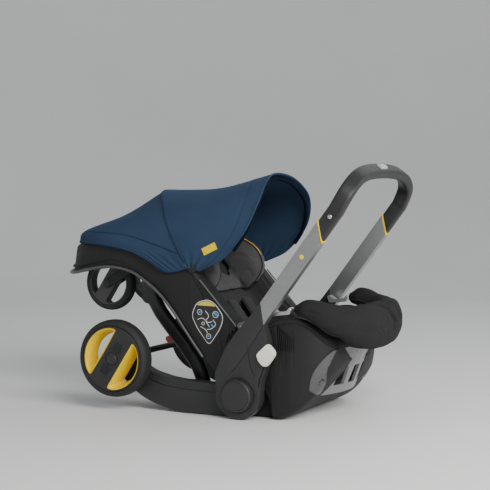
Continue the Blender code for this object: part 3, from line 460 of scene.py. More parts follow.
CANOPY_HALF = 0.1685
FRONT_BOW = ((-0.104, 0.972, 0.299), (-0.048, 0.972, 0.327), (0.0, 0.945, 0.385),
             (0.018, 0.78, 0.446), (0.01, 0.43, 0.488), (0.0, 0.0, 0.501))
FRONT_SAG = ((-0.113, 0.988, 0.302), (-0.1, 0.99, 0.338), (-0.09, 0.945, 0.392),
             (-0.096, 0.77, 0.438), (-0.118, 0.43, 0.462), (-0.13, 0.0, 0.468))
REAR_BOW = ((-0.128, 1.0, 0.304), (-0.15, 0.992, 0.338), (-0.18, 0.935, 0.388),
            (-0.208, 0.755, 0.43), (-0.243, 0.425, 0.456), (-0.26, 0.0, 0.463))
REAR_SAG = ((-0.15, 1.0, 0.297), (-0.205, 0.995, 0.335), (-0.262, 0.95, 0.372),
            (-0.305, 0.775, 0.398), (-0.335, 0.43, 0.409), (-0.345, 0.0, 0.412))
REAR_TUCK = ((-0.172, 1.0, 0.294), (-0.245, 0.998, 0.338), (-0.325, 0.965, 0.362),
             (-0.392, 0.8, 0.371), (-0.43, 0.45, 0.374), (-0.442, 0.0, 0.375))
REAR_HEM = ((-0.187, 1.0, 0.296), (-0.255, 0.998, 0.332), (-0.333, 0.965, 0.346),
            (-0.403, 0.8, 0.348), (-0.448, 0.45, 0.348), (-0.462, 0.0, 0.348))
FRONT_ROWS = 30
REAR_ROWS = 12
ARCH_STEPS = 14
CANOPY_FLAT = (0.62, 0.5)
CANOPY_THICK = 0.0024
CANOPY_SINK = 0.0002
THREAD_LIFT = 0.00015
THREAD_SIDES = 5
CANOPY_MIDDLE = Vector((-0.16, 0.0, 0.3))
EDGE_ROWS = 3.0
BAND_ROW = 4


def arch(half):
    """A whole bow over the seat from its right half, drawn with y as a share of the width."""
    right = [(x, -y * CANOPY_HALF, z) for x, y, z in half]
    left = [(x, y * CANOPY_HALF, z) for x, y, z in reversed(half[:-1])]
    return curve_through(right + left, ARCH_STEPS)


def canopy_rows():
    """The canopy's outer face as rows of points, front hoop first, rear hem last."""
    front = [arch(b) for b in (FRONT_BOW, FRONT_SAG, REAR_BOW)]
    rear = [arch(b) for b in (REAR_BOW, REAR_SAG, REAR_TUCK, REAR_HEM)]
    columns = []
    for i in range(len(front[0])):
        a = curve_through([c[i] for c in front], FRONT_ROWS // 2)
        b = curve_through([c[i] for c in rear], REAR_ROWS)
        columns.append(a + b[1:])
    return [[column[j] for column in columns] for j in range(len(columns[0]))]


def sheet_normals(rows):
    """The outward direction at every point of the canopy."""
    result = []
    last_j, last_i = len(rows) - 1, len(rows[0]) - 1
    for j, row in enumerate(rows):
        line = []
        for i, p in enumerate(row):
            du = row[min(i + 1, last_i)] - row[max(i - 1, 0)]
            dv = rows[min(j + 1, last_j)][i] - rows[max(j - 1, 0)][i]
            n = du.cross(dv).normalized()
            line.append(-n if n.dot(p - CANOPY_MIDDLE) < 0 else n)
        result.append(line)
    return result


def canopy_relief(u, v):
    """How far the cloth stands in or out: stitched seams dip, pull folds fan from the pivots."""
    side = abs(u - 0.5) * 2
    relief = 0.0
    ribs = FRONT_ROWS / (FRONT_ROWS + 3 * REAR_ROWS)
    for seam, dip in ((0.065, 0.0007), (ribs - 0.016, 0.0007), (ribs + 0.016, 0.0005)):
        relief -= dip * math.exp(-((v - seam) / 0.006) ** 2)
    corner = max(0.0, (side - 0.72) / 0.28)
    relief += 0.0011 * corner * math.sin(62.0 * v + 3.0 * side)
    relief += 0.0007 * math.sin(19.0 * u + 5.0 * v) * math.sin(9.0 * v + 2.0) * (1 - corner)
    crease = math.sin(34.0 * (u - 0.5) + 9.0 * v)
    relief += 0.0006 * crease * math.exp(-((v - ribs) / 0.1) ** 2)
    return relief


def build_canopy():
    """One closed sheet: cloth outside, lining inside, with its own flat layout."""
    rows = canopy_rows()
    normals = sheet_normals(rows)
    last_j, last_i = len(rows) - 1, len(rows[0]) - 1
    for j, row in enumerate(rows):
        for i, p in enumerate(row):
            edge = min(1.0, *(k / EDGE_ROWS for k in (j, last_j - j, i, last_i - i)))
            lift = canopy_relief(i / last_i, j / last_j) * edge
            row[i] = p + normals[j][i] * (lift - CANOPY_SINK)
    bm = bmesh.new()
    uv = bm.loops.layers.uv.new("UVMap")
    outer = [[bm.verts.new(p) for p in row] for row in rows]
    inner = [[bm.verts.new(p - normals[j][i] * CANOPY_THICK) for i, p in enumerate(row)]
             for j, row in enumerate(rows)]
    spot = {}
    for j in range(last_j + 1):
        for i in range(last_i + 1):
            place = (i / last_i * CANOPY_FLAT[0], j / last_j * CANOPY_FLAT[1])
            spot[outer[j][i]] = spot[inner[j][i]] = place
    for j in range(last_j):
        for i in range(last_i):
            bm.faces.new((outer[j][i], outer[j][i + 1], outer[j + 1][i + 1], outer[j + 1][i]))
            lining = bm.faces.new((inner[j][i], inner[j + 1][i], inner[j + 1][i + 1], inner[j][i + 1]))
            lining.material_index = 1
    for j in range(last_j):
        for i in (0, last_i):
            bm.faces.new((outer[j][i], outer[j + 1][i], inner[j + 1][i], inner[j][i]))
    for i in range(last_i):
        for j in (0, last_j):
            bm.faces.new((outer[j][i], outer[j][i + 1], inner[j][i + 1], inner[j][i]))
    for face in bm.faces:
        for loop in face.loops:
            loop[uv].uv = spot[loop.vert]
    sheet = new_mesh("canopy", bm, (CANOPY, CANOPY_LINING_SHADED), 60.0)
    return sheet, rows, normals


def bend_canopy(obj):
    """Bake the piece's placement into its mesh; the piece is not attached to a body here."""
    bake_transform(obj)


def raised(rows, normals, picks, lift):
    """Canopy points by row and column, lifted off the cloth."""
    return [rows[j][i] + normals[j][i] * lift for j, i in picks]


def spread(points, gap):
    """The same line with points an even gap apart."""
    out = [points[0]]
    run = 0.0
    for a, b in zip(points[:-1], points[1:]):
        length = (b - a).length
        while run + length >= gap and length > 1e-9:
            a = a + (b - a).normalized() * (gap - run)
            length = (b - a).length
            out.append(a)
            run = 0.0
        run += length
    return out


def stitches(name, line, up, colour, gap=0.0034, length=0.0024, radius=0.00032):
    """A row of separate thread stitches lying along a line on a surface."""
    bm = bmesh.new()
    spots = spread(line, gap)
    for k, p in enumerate(spots[:-1]):
        ahead = (spots[k + 1] - p).normalized()
        normal = up(p) if callable(up) else Vector(up)
        across = ahead.cross(normal).normalized()
        rings = []
        for t, r, h in ((-0.5, 0.35, -0.2), (-0.25, 1.0, 0.6), (0.25, 1.0, 0.6), (0.5, 0.35, -0.2)):
            middle = p + ahead * (t * length) + normal * (THREAD_LIFT + h * radius)
            turns = [math.tau * m / THREAD_SIDES for m in range(THREAD_SIDES)]
            rings.append([middle + across * (radius * r * math.cos(turn))
                          + normal * (radius * r * math.sin(turn)) for turn in turns])
        grid = [[bm.verts.new(q) for q in ring] for ring in rings]
        for low, high in zip(grid[:-1], grid[1:]):
            for m in range(THREAD_SIDES):
                n = (m + 1) % THREAD_SIDES
                bm.faces.new((low[m], low[n], high[n], high[m]))
        bm.faces.new(grid[0])
        bm.faces.new(grid[-1])
    return new_mesh(name, bm, colour, 60.0, 1e-8)


THREAD = woven("canopy_thread", (0.05, 0.08, 0.14), 4000.0, 0.2, 0.3, 0.8, "Object")
THREAD_DARK = woven("seat_thread", (0.045, 0.045, 0.047), 4000.0, 0.2, 0.3, 0.8, "Object")


def canopy_trims(rows, normals):
    """Piping, hems and thread along rows and columns of the cloth."""
    last_j, last_i = len(rows) - 1, len(rows[0]) - 1
    trims = []

    def line(name, picks, lift, radius, mat):
        trims.append(tube(name, spread(raised(rows, normals, picks, lift), 0.0025), radius, mat))

    arch_run = range(last_i + 1)
    line("canopy_rib_piping", [(FRONT_ROWS, i) for i in range(4, last_i - 3)], 0.0003, 0.0012, PIPING)
    line("canopy_front_edge", [(0, i) for i in arch_run], -0.001, 0.0022, CANOPY)
    line("canopy_rear_hem", [(last_j, i) for i in arch_run], -0.001, 0.0019, PIPING)
    for side, i in (("right", 0), ("left", last_i)):
        line("canopy_side_hem_" + side, [(j, i) for j in range(last_j + 1)], -0.001, 0.0017, PIPING)
    line("canopy_band_seam", [(BAND_ROW, i) for i in range(6, last_i - 5)], -0.0001, 0.0007, PIPING)
    for name, row in (("canopy_band_stitch", BAND_ROW + 1), ("canopy_rib_stitch", FRONT_ROWS - 1),
                      ("canopy_hem_stitch", last_j - 2)):
        spots = raised(rows, normals, [(row, i) for i in range(3, last_i - 2)], 0.0001)
        flat_normals = [normals[row][i] for i in range(3, last_i - 2)]

        def nearest(p, spots=spots, flat_normals=flat_normals):
            best = min(range(len(spots)), key=lambda k: (spots[k] - p).length_squared)
            return flat_normals[best]

        trims.append(stitches(name, spots, nearest, THREAD))
    side_seam(rows, normals, trims)
    return trims


def snap(rows, x, z, side):
    """The canopy point on one side that sits at a given place in the side view."""
    found = ((j, i) for j, row in enumerate(rows) for i, p in enumerate(row) if p.y * side > 0)
    return min(found, key=lambda at: (rows[at[0]][at[1]].x - x) ** 2 + (rows[at[0]][at[1]].z - z) ** 2)


def side_seam(rows, normals, trims):
    """The lower side panel's seam: from the rear hem forward to the pivot."""
    seam = [(-0.405, 0.371), (-0.375, 0.374), (-0.346, 0.372), (-0.317, 0.373), (-0.266, 0.367),
            (-0.223, 0.356), (-0.177, 0.342), (-0.152, 0.334)]
    for name, side in SIDES:
        points = []
        for p in curve_through([(x, 0.0, z) for x, z in seam], 6):
            j, i = snap(rows, p.x, p.z, side)
            q = rows[j][i] + normals[j][i] * 0.0002
            if not points or (q - points[-1]).length > 0.002:
                points.append(q)
        points = smoothed(points, 6)
        trims.append(tube("canopy_side_seam_" + name, spread(points, 0.003), 0.001, PIPING))


def smoothed(points, rounds):
    """A path with its inner points averaged with their neighbours."""
    for _ in range(rounds):
        points = ([points[0]] + [(a + b * 2 + c) / 4 for a, b, c in
                                 zip(points[:-2], points[1:-1], points[2:])] + [points[-1]])
    return points


def make_canopy():
    """The sheet with its trims and sewn tag, the front bow and the pivots' discs."""
    sheet, rows, normals = build_canopy()
    trims = canopy_trims(rows, normals)
    j, i = snap(rows, -0.076, 0.346, -1)
    normal = normals[j][i]
    centre = rows[j][i] + normal * 0.0009
    across = Vector((0.9, 0.0, 0.436))
    across = (across - normal * across.dot(normal)).normalized()
    up = normal.cross(across).normalized()
    if up.z < 0:
        up = -up
    ring_low, ring_high = [], []
    for a, b in rounded([(-0.0165, -0.0078), (0.0165, -0.0078), (0.0165, 0.0078), (-0.0165, 0.0078)],
                        0.0012, 3):
        spot = centre + across * a + up * b
        ring_low.append(spot - normal * 0.0004)
        ring_high.append(spot + normal * 0.0004)
    tag = new_mesh("canopy_tag", loft([ring_low, ring_high]), TAG)
    edge = [centre + across * a + up * b + normal * 0.0004 for a, b in
            ((-0.0152, -0.0066), (0.0152, -0.0066), (0.0152, 0.0066), (-0.0152, 0.0066),
             (-0.0152, -0.0066))]
    thread = stitches("canopy_tag_stitch", edge, normal, ACCENT, 0.0022, 0.0015, 0.0002)
    for obj in trims + [tag, thread]:
        bend_canopy(obj)
    bend_canopy(sheet)
    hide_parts("canopy_rear", "canopy_front")
    path = []
    ends = 2 * ARCH_STEPS // 3 + 12
    for p in arch(FRONT_BOW)[ends:-ends]:
        drop = 0.0118 * min(1.0, math.hypot(p.x - PIVOT[0], p.z - PIVOT[1]) / 0.08)
        path.append(Vector((p.x - 0.006, p.y * 0.945, p.z - drop)))
    show(tube("canopy_bow_shown", path, 0.0042, CANOPY_LINING_SHADED, 12), "canopy", "canopy_bow")
    for name, side in SIDES:
        hub = side_prism(circle(*PIVOT, 0.0105, 40), side, 0.1664, 0.1672, 0.0004)
        show(new_mesh("canopy_hub_" + name, hub, TRIM), "seat")


TAG = woven("tag_cloth", (0.82, 0.56, 0.01), 2600.0, 0.15, 0.2, 0.8, "Object", 0.12, 0.05)
make_canopy()


# ------------------------------------------------------------------ shell

SHELL_STATIONS = (
    (-0.463, 0.06, 0.05, 0.284, 0.322), (-0.455, 0.09, 0.076, 0.281, 0.338),
    (-0.438, 0.116, 0.1, 0.28, 0.343), (-0.41, 0.138, 0.122, 0.284, 0.349),
    (-0.37, 0.153, 0.142, 0.294, 0.355), (-0.32, 0.16, 0.154, 0.301, 0.361),
    (-0.27, 0.161, 0.158, 0.293, 0.364), (-0.235, 0.161, 0.159, 0.276, 0.362),
    (-0.2, 0.161, 0.16, 0.25, 0.354), (-0.165, 0.163, 0.163, 0.214, 0.336),
    (-0.13, 0.163, 0.163, 0.167, 0.314), (-0.104, 0.163, 0.163, 0.131, 0.285),
    (-0.08, 0.163, 0.163, 0.103, 0.258), (-0.062, 0.163, 0.163, 0.081, 0.238),
    (-0.052, 0.163, 0.163, 0.03, 0.228), (-0.044, 0.163, 0.163, 0.0, 0.22),
    (-0.015, 0.163, 0.163, 0.0, 0.194), (0.01, 0.163, 0.163, 0.0, 0.186),
    (0.045, 0.163, 0.163, 0.0, 0.192), (0.075, 0.163, 0.163, 0.0, 0.204),
    (0.105, 0.163, 0.16, 0.012, 0.208), (0.13, 0.157, 0.156, 0.032, 0.204),
    (0.15, 0.148, 0.149, 0.055, 0.192), (0.168, 0.134, 0.136, 0.08, 0.176),
    (0.182, 0.11, 0.114, 0.102, 0.166), (0.19, 0.08, 0.084, 0.118, 0.16),
)
BUCKET_STATIONS = (
    (-0.33, 0.096, 0.104, 0.357), (-0.3, 0.112, 0.126, 0.35), (-0.26, 0.118, 0.136, 0.34),
    (-0.225, 0.12, 0.142, 0.314), (-0.19, 0.121, 0.144, 0.278), (-0.15, 0.122, 0.144, 0.23),
    (-0.11, 0.122, 0.144, 0.18), (-0.075, 0.122, 0.144, 0.134), (-0.04, 0.122, 0.144, 0.08),
    (-0.01, 0.122, 0.144, 0.052), (0.04, 0.122, 0.144, 0.044), (0.085, 0.12, 0.143, 0.058),
    (0.125, 0.116, 0.138, 0.088), (0.15, 0.108, 0.13, 0.118), (0.166, 0.096, 0.116, 0.146),
)
HOLLOW_STATIONS = (
    (-0.447, 0.07, 0.306), (-0.43, 0.095, 0.322), (-0.405, 0.122, 0.334),
    (-0.37, 0.138, 0.342), (-0.31, 0.146, 0.342), (-0.268, 0.147, 0.33),
    (-0.235, 0.147, 0.308), (-0.2, 0.146, 0.278), (-0.165, 0.144, 0.238),
    (-0.13, 0.143, 0.194), (-0.1, 0.142, 0.152), (-0.08, 0.141, 0.124),
)
BUCKET_TOP = 0.55
TOE_CENTRE = Vector((0.05, 0.0, 0.1))
SHELL_SEAM = ((-0.124, 0.295), (-0.104, 0.262), (-0.07, 0.205), (-0.052, 0.15), (-0.048, 0.106))
PAST_SHELL = 0.18
CORNER_STEPS = 5
BUCKET_STEPS = 2
VENT_FLOOR = 0.1588
SLOT_FLOOR = 0.1585
SEAM_FLOOR = 0.1618


def finer(table, per_span):
    """Table rows with smooth in-between rows; every column is interpolated alike."""
    rows = [np.array(r) for r in table]
    rows = [rows[0] * 2 - rows[1]] + rows + [rows[-1] * 2 - rows[-2]]
    out = []
    for i in range(1, len(rows) - 2):
        low, high = np.minimum(rows[i], rows[i + 1]), np.maximum(rows[i], rows[i + 1])
        spare = (high - low) * 0.15 + 0.0004
        for k in range(per_span):
            p = spline_point(*rows[i - 1:i + 3], k / per_span)
            out.append(np.clip(p, low - spare, high + spare))
    out.append(rows[-2])
    return [tuple(float(v) for v in r) for r in out]


def box_ring(x, half_low, half_high, z_low, z_high, radius_low, radius_high):
    """A slice of the shell: a four-sided section with its own radius low down and high up."""
    corners = [Vector(p) for p in ((-half_low, z_low), (half_low, z_low), (half_high, z_high),
                                   (-half_high, z_high))]
    radii = (radius_low, radius_low, radius_high, radius_high)
    ring = []
    for i, corner in enumerate(corners):
        ring += round_corner(corners[i - 1], corner, corners[(i + 1) % 4], radii[i], CORNER_STEPS)
    return [(x, p.x, p.y) for p in ring]


def bucket(inset, top):
    """The seat space, drawn in by an inset and reaching up to a height."""
    rings = []
    first, last = BUCKET_STATIONS[0][0], BUCKET_STATIONS[-1][0]
    for x, low, high, floor in finer(BUCKET_STATIONS, BUCKET_STEPS):
        ratio = (x - first) / (last - first)
        lean = (high - low) / (BUCKET_TOP - floor)
        base = floor + inset * 1.15
        half_low = low - inset + lean * (base - floor)
        half_high = half_low + lean * (top - base)
        rings.append(box_ring(x + inset * (1 - 2 * ratio), half_low, half_high, base, top, 0.04, 0.001))
    return loft(rings)


def hub_recess(side):
    """The room in the shell's side that the leg's disc turns in."""
    outline = ([(-0.095, -0.02), (0.064, -0.02), (0.064, 0.03), (0.0575, 0.043)]
               + hub_arc(0.0485, range(12, 141, 4)) + [(-0.06, 0.08), (-0.095, 0.08)])
    return side_prism(outline, side, 0.1386, BEYOND)


def ribbon(points, width):
    """An outline of even width along a side-view polyline."""
    pts = [Vector(p) for p in points]
    left, right = [], []
    for i, p in enumerate(pts):
        ahead = tangent_at(pts, i)
        normal = Vector((-ahead.y, ahead.x)) * (width / 2)
        left.append(p + normal)
        right.append(p - normal)
    return left + right[::-1]


def groove(obj, side, points, steps, width, floor, beyond=BEYOND):
    """A shallow channel along a side-view curve, down to a distance from the middle plane."""
    cut(obj, side_prism(ribbon(flat_curve(points, steps), width), side, floor, beyond))


def flat_curve(points, per_span=6):
    """A smooth curve through side-view points."""
    return [(p.x, p.z) for p in curve_through([(x, 0.0, z) for x, z in points], per_span)]


def make_shell():
    """The bucket shell with its hollow, hub recesses, vents, slots and side seam."""
    rings = []
    for x, low, high, z_low, z_high in finer(SHELL_STATIONS, 3):
        radius_low = 0.006 if x < -0.06 else 0.02
        rings.append(box_ring(x, low, high, max(0.0, z_low), z_high, radius_low, 0.01))
    shell = new_mesh("seat_shell_shown", loft(rings), SHELL)
    hollow = [box_ring(x, half * 0.97, half * 0.9, -0.05, z, 0.001, 0.02)
              for x, half, z in finer(HOLLOW_STATIONS, 2)]
    cut(shell, bucket(0.0, BUCKET_TOP))
    cut(shell, loft(hollow))
    for _, side in SIDES:
        cut(shell, hub_recess(side))
    guard = NODES["foot_guard"].data
    tool = bmesh.new()
    tool.from_mesh(guard)
    for v in tool.verts:
        v.co += (v.co - TOE_CENTRE).normalized() * 0.0004
    bmesh.ops.recalc_face_normals(tool, faces=tool.faces)
    cut(shell, bmesh_hull(tool))
    for _, side in SIDES:
        for k in range(9):
            x = 0.0745 + 0.0041 * k
            top = 0.1935 - 0.003 * k + 0.001 * (k % 2)
            vent = rounded([(x, top), (x + 0.0021, top), (x + 0.0052, 0.142), (x + 0.0031, 0.142)],
                           0.0009, 2)
            cut(shell, side_prism(vent, side, VENT_FLOOR, PAST_SHELL))
        for k in range(5):
            x, z = -0.041 + 0.0078 * k, 0.1535 + 0.0066 * k
            slot = rounded([(x, z), (x + 0.0032, z - 0.0022), (x + 0.011, z + 0.0165),
                            (x + 0.008, z + 0.0195)], 0.0012, 2)
            cut(shell, side_prism(slot, side, SLOT_FLOOR, PAST_SHELL))
        groove(shell, side, SHELL_SEAM, 8, 0.0013, SEAM_FLOOR, PAST_SHELL)
    soften(shell, 0.0011, 2, 35.0)
    return show(shell, "seat", "seat_shell")


def bmesh_hull(bm):
    """The closed convex body around a set of points."""
    result = bmesh.ops.convex_hull(bm, input=bm.verts)
    spare = [v for v in result["geom_interior"] if isinstance(v, bmesh.types.BMVert)]
    bmesh.ops.delete(bm, geom=list(set(spare)), context="VERTS")
    return bm


def make_shell_trims():
    """The edge lip and its ridge, rim strips and clips, foot guard, labels and lever."""
    half = [(-0.093, 0.1664, 0.12), (-0.13, 0.1664, 0.168), (-0.165, 0.1664, 0.215),
            (-0.2, 0.1655, 0.251), (-0.235, 0.165, 0.2765), (-0.27, 0.165, 0.294),
            (-0.32, 0.1642, 0.301), (-0.37, 0.158, 0.2945), (-0.412, 0.143, 0.285),
            (-0.442, 0.12, 0.281), (-0.46, 0.093, 0.2815), (-0.468, 0.06, 0.284)]
    full = mirrored(half, [(-0.469, 0.0, 0.285)])
    # The lip's light grey paints the ridge's highlight line.
    lip = tube("shell_lip_shown", curve_through(full, 8), 0.0029, LIP_HIGHLIGHT, 12, flat=1.25)
    show(lip, "seat", "shell_lip")
    upper = [(x + 0.0042, y * 0.962, z + 0.0135) for x, y, z in full[4:-4]]
    show(tube("shell_upper_ridge", curve_through(upper, 8), 0.0021, SHELL, 10), "seat")
    for name, side in SIDES:
        strip = rounded([(-0.1018, 0.28), (-0.1, 0.2815), (-0.0155, 0.1885), (-0.0173, 0.187)], 0.001,
                        4)
        obj = new_mesh("rim_strip_shown_" + name, side_prism(strip, side, 0.1634, 0.1656, 0.0007),
                       STRIP)
        show(obj, "seat", "rim_strip_" + name)
        clip = rounded([(0.0105, 0.202), (-0.0075, 0.1965), (-0.0135, 0.1905), (-0.008, 0.18),
                        (-0.001, 0.179)], 0.002, 4)
        show(new_mesh("rim_clip_" + name, side_prism(clip, side, 0.1631, 0.1672, 0.0011), STRIP),
             "seat")
        rivet = side_prism(circle(-0.0045, 0.1885, 0.0021, 24), side, 0.167, 0.1679, 0.0004)
        show(new_mesh("rim_clip_rivet_" + name, rivet, STEEL), "seat")
    soft_copy("foot_guard", GUARD, 0.0012, 3, "seat")
    make_labels()
    soft_copy("release_lever", GREY, 0.0016, 3, "release_lever")


# The lip is real, but its grey is much lighter than the shell's: the lighter grey is a painted
# highlight along the ridge.
LIP_HIGHLIGHT = moulded("lip_plastic_painted_highlight", (0.062, 0.062, 0.064), 0.34, 0.2, 0.2)
GUARD = moulded("guard_plastic", (0.16, 0.16, 0.165), 0.3, 0.2, 0.3)
GUARD_SIDE = moulded("guard_side_plastic", (0.07, 0.07, 0.072), 0.36, 0.2, 0.2)


def make_guard_wings(shell):
    """Curved cheeks that carry the foot guard round the shell's corners."""
    for name, side in SIDES:
        inner = curve_through([(0.1745, side * 0.101, 0.1455), (0.164, side * 0.102, 0.12),
                               (0.153, side * 0.103, 0.094), (0.145, side * 0.104, 0.074),
                               (0.139, side * 0.105, 0.06)], 6)
        outer = curve_through([(0.183, side * 0.12, 0.143), (0.17, side * 0.137, 0.13),
                               (0.153, side * 0.147, 0.108), (0.144, side * 0.15, 0.086),
                               (0.14, side * 0.148, 0.064)], 6)
        rows = []
        for p, q in zip(inner, outer):
            row = []
            for k in range(11):
                _, place, normal, _ = shell.closest_point_on_mesh(p.lerp(q, k / 10))
                row.append((place, normal))
            rows.append([place + normal * 0.0016 for place, normal in row]
                        + [place - normal * 0.001 for place, normal in reversed(row)])
        show(new_mesh("guard_wing_" + name, loft(rows), GUARD_SIDE, 50.0), "seat")


LABEL_WHITE = moulded("label_white", (0.62, 0.62, 0.61), 0.42, 0.05)
LABEL_BASE = moulded("label_base", (0.02, 0.02, 0.021), 0.36, 0.05)
LABEL_BLUE = moulded("label_blue", (0.04, 0.24, 0.56), 0.42, 0.05)
LABEL_YELLOW = moulded("label_yellow", (0.64, 0.52, 0.06), 0.42, 0.05)
SHIELD = [(-0.08, 0.2415), (-0.062, 0.23), (-0.045, 0.206), (-0.052, 0.182),
          (-0.079, 0.144), (-0.108, 0.18), (-0.121, 0.206), (-0.109, 0.234)]
SHIELD_MIDDLE = Vector((-0.0825, 0.1985))


def shrunk(outline, by):
    """The shield drawn in towards its middle."""
    return [p + (SHIELD_MIDDLE - p).normalized() * by for p in outline]


def make_labels():
    """A shield sticker with an outline, a coloured head band and plain marks, no writing."""
    for name, side in SIDES:
        outline = [Vector(p) for p in rounded(SHIELD, 0.011, 6)]
        layers = [("label_shown_" + name, outline, 0.1634, 0.1639, LABEL_WHITE),
                  ("label_field_" + name, shrunk(outline, 0.0016), 0.1638, 0.16405, LABEL_BASE)]
        band = [p for p in shrunk(outline, 0.0028) if p.y > 0.2262]
        layers.append(("label_band_" + name, band, 0.164, 0.16425, LABEL_YELLOW))
        for k, (piece, shape, low, high, mat) in enumerate(layers):
            show(new_mesh(piece, side_prism(shape, side, low, high), mat, 30.0), "seat",
                 *(["label_" + name] if k == 0 else []))
        bm_white, bm_blue = bmesh.new(), bmesh.new()
        rings = ((-0.101, 0.2135, 0.0058), (-0.064, 0.21, 0.007), (-0.08, 0.164, 0.0056),
                 (-0.093, 0.19, 0.0036))
        for x, z, radius in rings:
            join(bm_white, ring_prism(x, z, radius, radius - 0.0011, side, 0.164, 0.1643))
        strokes = (((-0.106, 0.198), (-0.094, 0.201), (-0.082, 0.193), (-0.072, 0.195)),
                   ((-0.088, 0.217), (-0.08, 0.206), (-0.086, 0.196), (-0.078, 0.183)),
                   ((-0.07, 0.199), (-0.064, 0.189), (-0.074, 0.18), (-0.084, 0.178)),
                   ((-0.099, 0.183), (-0.088, 0.178), (-0.083, 0.171)))
        for stroke in strokes:
            join(bm_white, side_prism(ribbon(flat_curve(stroke), 0.0014), side, 0.164, 0.1643))
        blocks = (((-0.068, 0.214), (-0.06, 0.2075), 0.0048), ((-0.103, 0.212), (-0.099, 0.215), 0.003),
                  ((-0.074, 0.189), (-0.07, 0.185), 0.0038), ((-0.082, 0.165), (-0.078, 0.163), 0.003))
        for start, end, width in blocks:
            join(bm_blue, side_prism(ribbon([start, end], width), side, 0.164, 0.16435))
        for piece, bm, mat in (("label_marks_", bm_white, LABEL_WHITE),
                               ("label_spots_", bm_blue, LABEL_BLUE)):
            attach(new_mesh(piece + name, bm, mat, 30.0), "seat")


def join(bm, other):
    """Add one bmesh to another."""
    mesh = bpy.data.meshes.new("part")
    bmesh.ops.recalc_face_normals(other, faces=other.faces)
    other.to_mesh(mesh)
    other.free()
    bm.from_mesh(mesh)
    bpy.data.meshes.remove(mesh)


def ring_prism(x, z, outer, inner, side, low, high):
    """A flat ring standing on the shell's side."""
    rows = []
    for radius, y in ((outer, low), (outer, high), (inner, high), (inner, low)):
        rows.append([Vector((px, side * y, pz)) for px, pz in circle(x, z, radius, 32)])
    return loft(rows, closed_path=True)


def make_rim_cover():
    """The seat cover's hem, drawn over the shell's rim at the foot end."""
    table = [row for row in finer(SHELL_STATIONS, 4) if 0.04 <= row[0] <= 0.188]
    for name, side in SIDES:
        rings = []
        for k, (x, _, half, _, top) in enumerate(table):
            t = k / (len(table) - 1)
            drop = 0.005 + 0.012 * max(0.0, t - 0.55) / 0.45
            wave = 0.0004 * math.sin(k * 1.7)
            profile = [(half - 0.023, top - 0.003), (half - 0.019, top + 0.0016 + wave),
                       (half - 0.009, top + 0.002), (half - 0.003, top + 0.0006),
                       (half + 0.001, top - 0.0034), (half + 0.002, top - 0.004 - drop)]
            inner = [(a - 0.001, b - 0.0014) for a, b in reversed(profile)]
            rings.append([(x, side * a, b) for a, b in profile + inner])
        hem = new_mesh("rim_cover_" + name, loft(rings), CLOTH_SOFT, 60.0)
        modifier = hem.modifiers.new("fine", "SUBSURF")
        modifier.levels = 2
        apply_all(hem)
        show(hem, "seat")
        run = [Vector((x, side * (half + 0.0024), top - 0.005)) for x, _, half, _, top in table]
        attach(stitches("rim_cover_stitch_" + name, run[2:-6], (0.0, side, 0.2), THREAD_DARK,
                         0.004, 0.0028, 0.0004), "seat")


make_guard_wings(make_shell())
make_shell_trims()
make_rim_cover()


# ------------------------------------------------------------------ handle

HANDLE_ANGLE = math.radians(53.3)
HANDLE_OFFSET = 0.058
HALF_BAR = 0.01625
DOT_ALONG = 0.314
PIN_ALONG = 0.415
GRIP_TOP = Vector((0.232, 0.0, 0.506))
HUB_AT = (HUB.x, HUB.z)
ARM_INNER = 0.1695
ARM_OUTER = 0.1915
ARM_FOLDS = (
    (((0.0205, 0.156), (0.029, 0.112), (0.0365, 0.093)), 0.0014, 0.19),
    (((0.056, 0.193), (0.017, 0.1345), (-0.006, 0.105), (-0.021, 0.0925)), 0.0014, 0.19),
    (((0.06, 0.112), (0.05, 0.086), (0.047, 0.07)), 0.0022, 0.188),
)
TAB_OUTLINE = ((0.0695, 0.161), (0.0865, 0.143), (0.083, 0.134), (0.0665, 0.112),
               (0.056, 0.116), (0.044, 0.13), (0.046, 0.139))
GRIP_PLASTIC = moulded("grip_plastic", (0.02, 0.02, 0.0208), 0.44, 0.25, 0.0, 0.4)
# Near-black plastic, used only for the sheet of painted shade in the tab's gap.
GAP_SHADE = moulded("painted_gap_shade", (0.004, 0.004, 0.0042), 0.6, 0.2)


def along(distance, lateral=0.0):
    """A side-view point along the handle bar, and sideways from its middle line."""
    ux, uz = math.cos(HANDLE_ANGLE), math.sin(HANDLE_ANGLE)
    off = HANDLE_OFFSET + lateral
    return Vector((HUB.x + distance * ux - off * uz, HUB.z + distance * uz + off * ux))


def top_point(reach, lateral):
    """A side-view point from the top of the grip, along the bar and sideways."""
    ux, uz = math.cos(HANDLE_ANGLE), math.sin(HANDLE_ANGLE)
    return Vector((GRIP_TOP.x + reach * ux - lateral * uz, GRIP_TOP.z + reach * uz + lateral * ux))


def side_lathe(profile, side, centre, count=64):
    """A solid of revolution about Y whose profile starts and ends on the axis."""
    bm = bmesh.new()
    first = bm.verts.new((centre[0], side * profile[0][1], centre[1]))
    last = bm.verts.new((centre[0], side * profile[-1][1], centre[1]))
    rings = []
    for radius, y in profile[1:-1]:
        rings.append([bm.verts.new((px, side * y, pz))
                      for px, pz in circle(centre[0], centre[1], radius, count)])
    for i in range(count):
        j = (i + 1) % count
        bm.faces.new((first, rings[0][i], rings[0][j]))
        bm.faces.new((last, rings[-1][j], rings[-1][i]))
        for low, high in zip(rings[:-1], rings[1:]):
            bm.faces.new((low[i], high[i], high[j], low[j]))
    return bm


def ring_lathe(profile, side, centre, count=96):
    """A closed ring of revolution about Y."""
    rows = []
    for radius, y in profile:
        rows.append([Vector((px, side * y, pz)) for px, pz in circle(centre[0], centre[1],
                                                                     radius, count)])
    return loft(rows, closed_path=True)


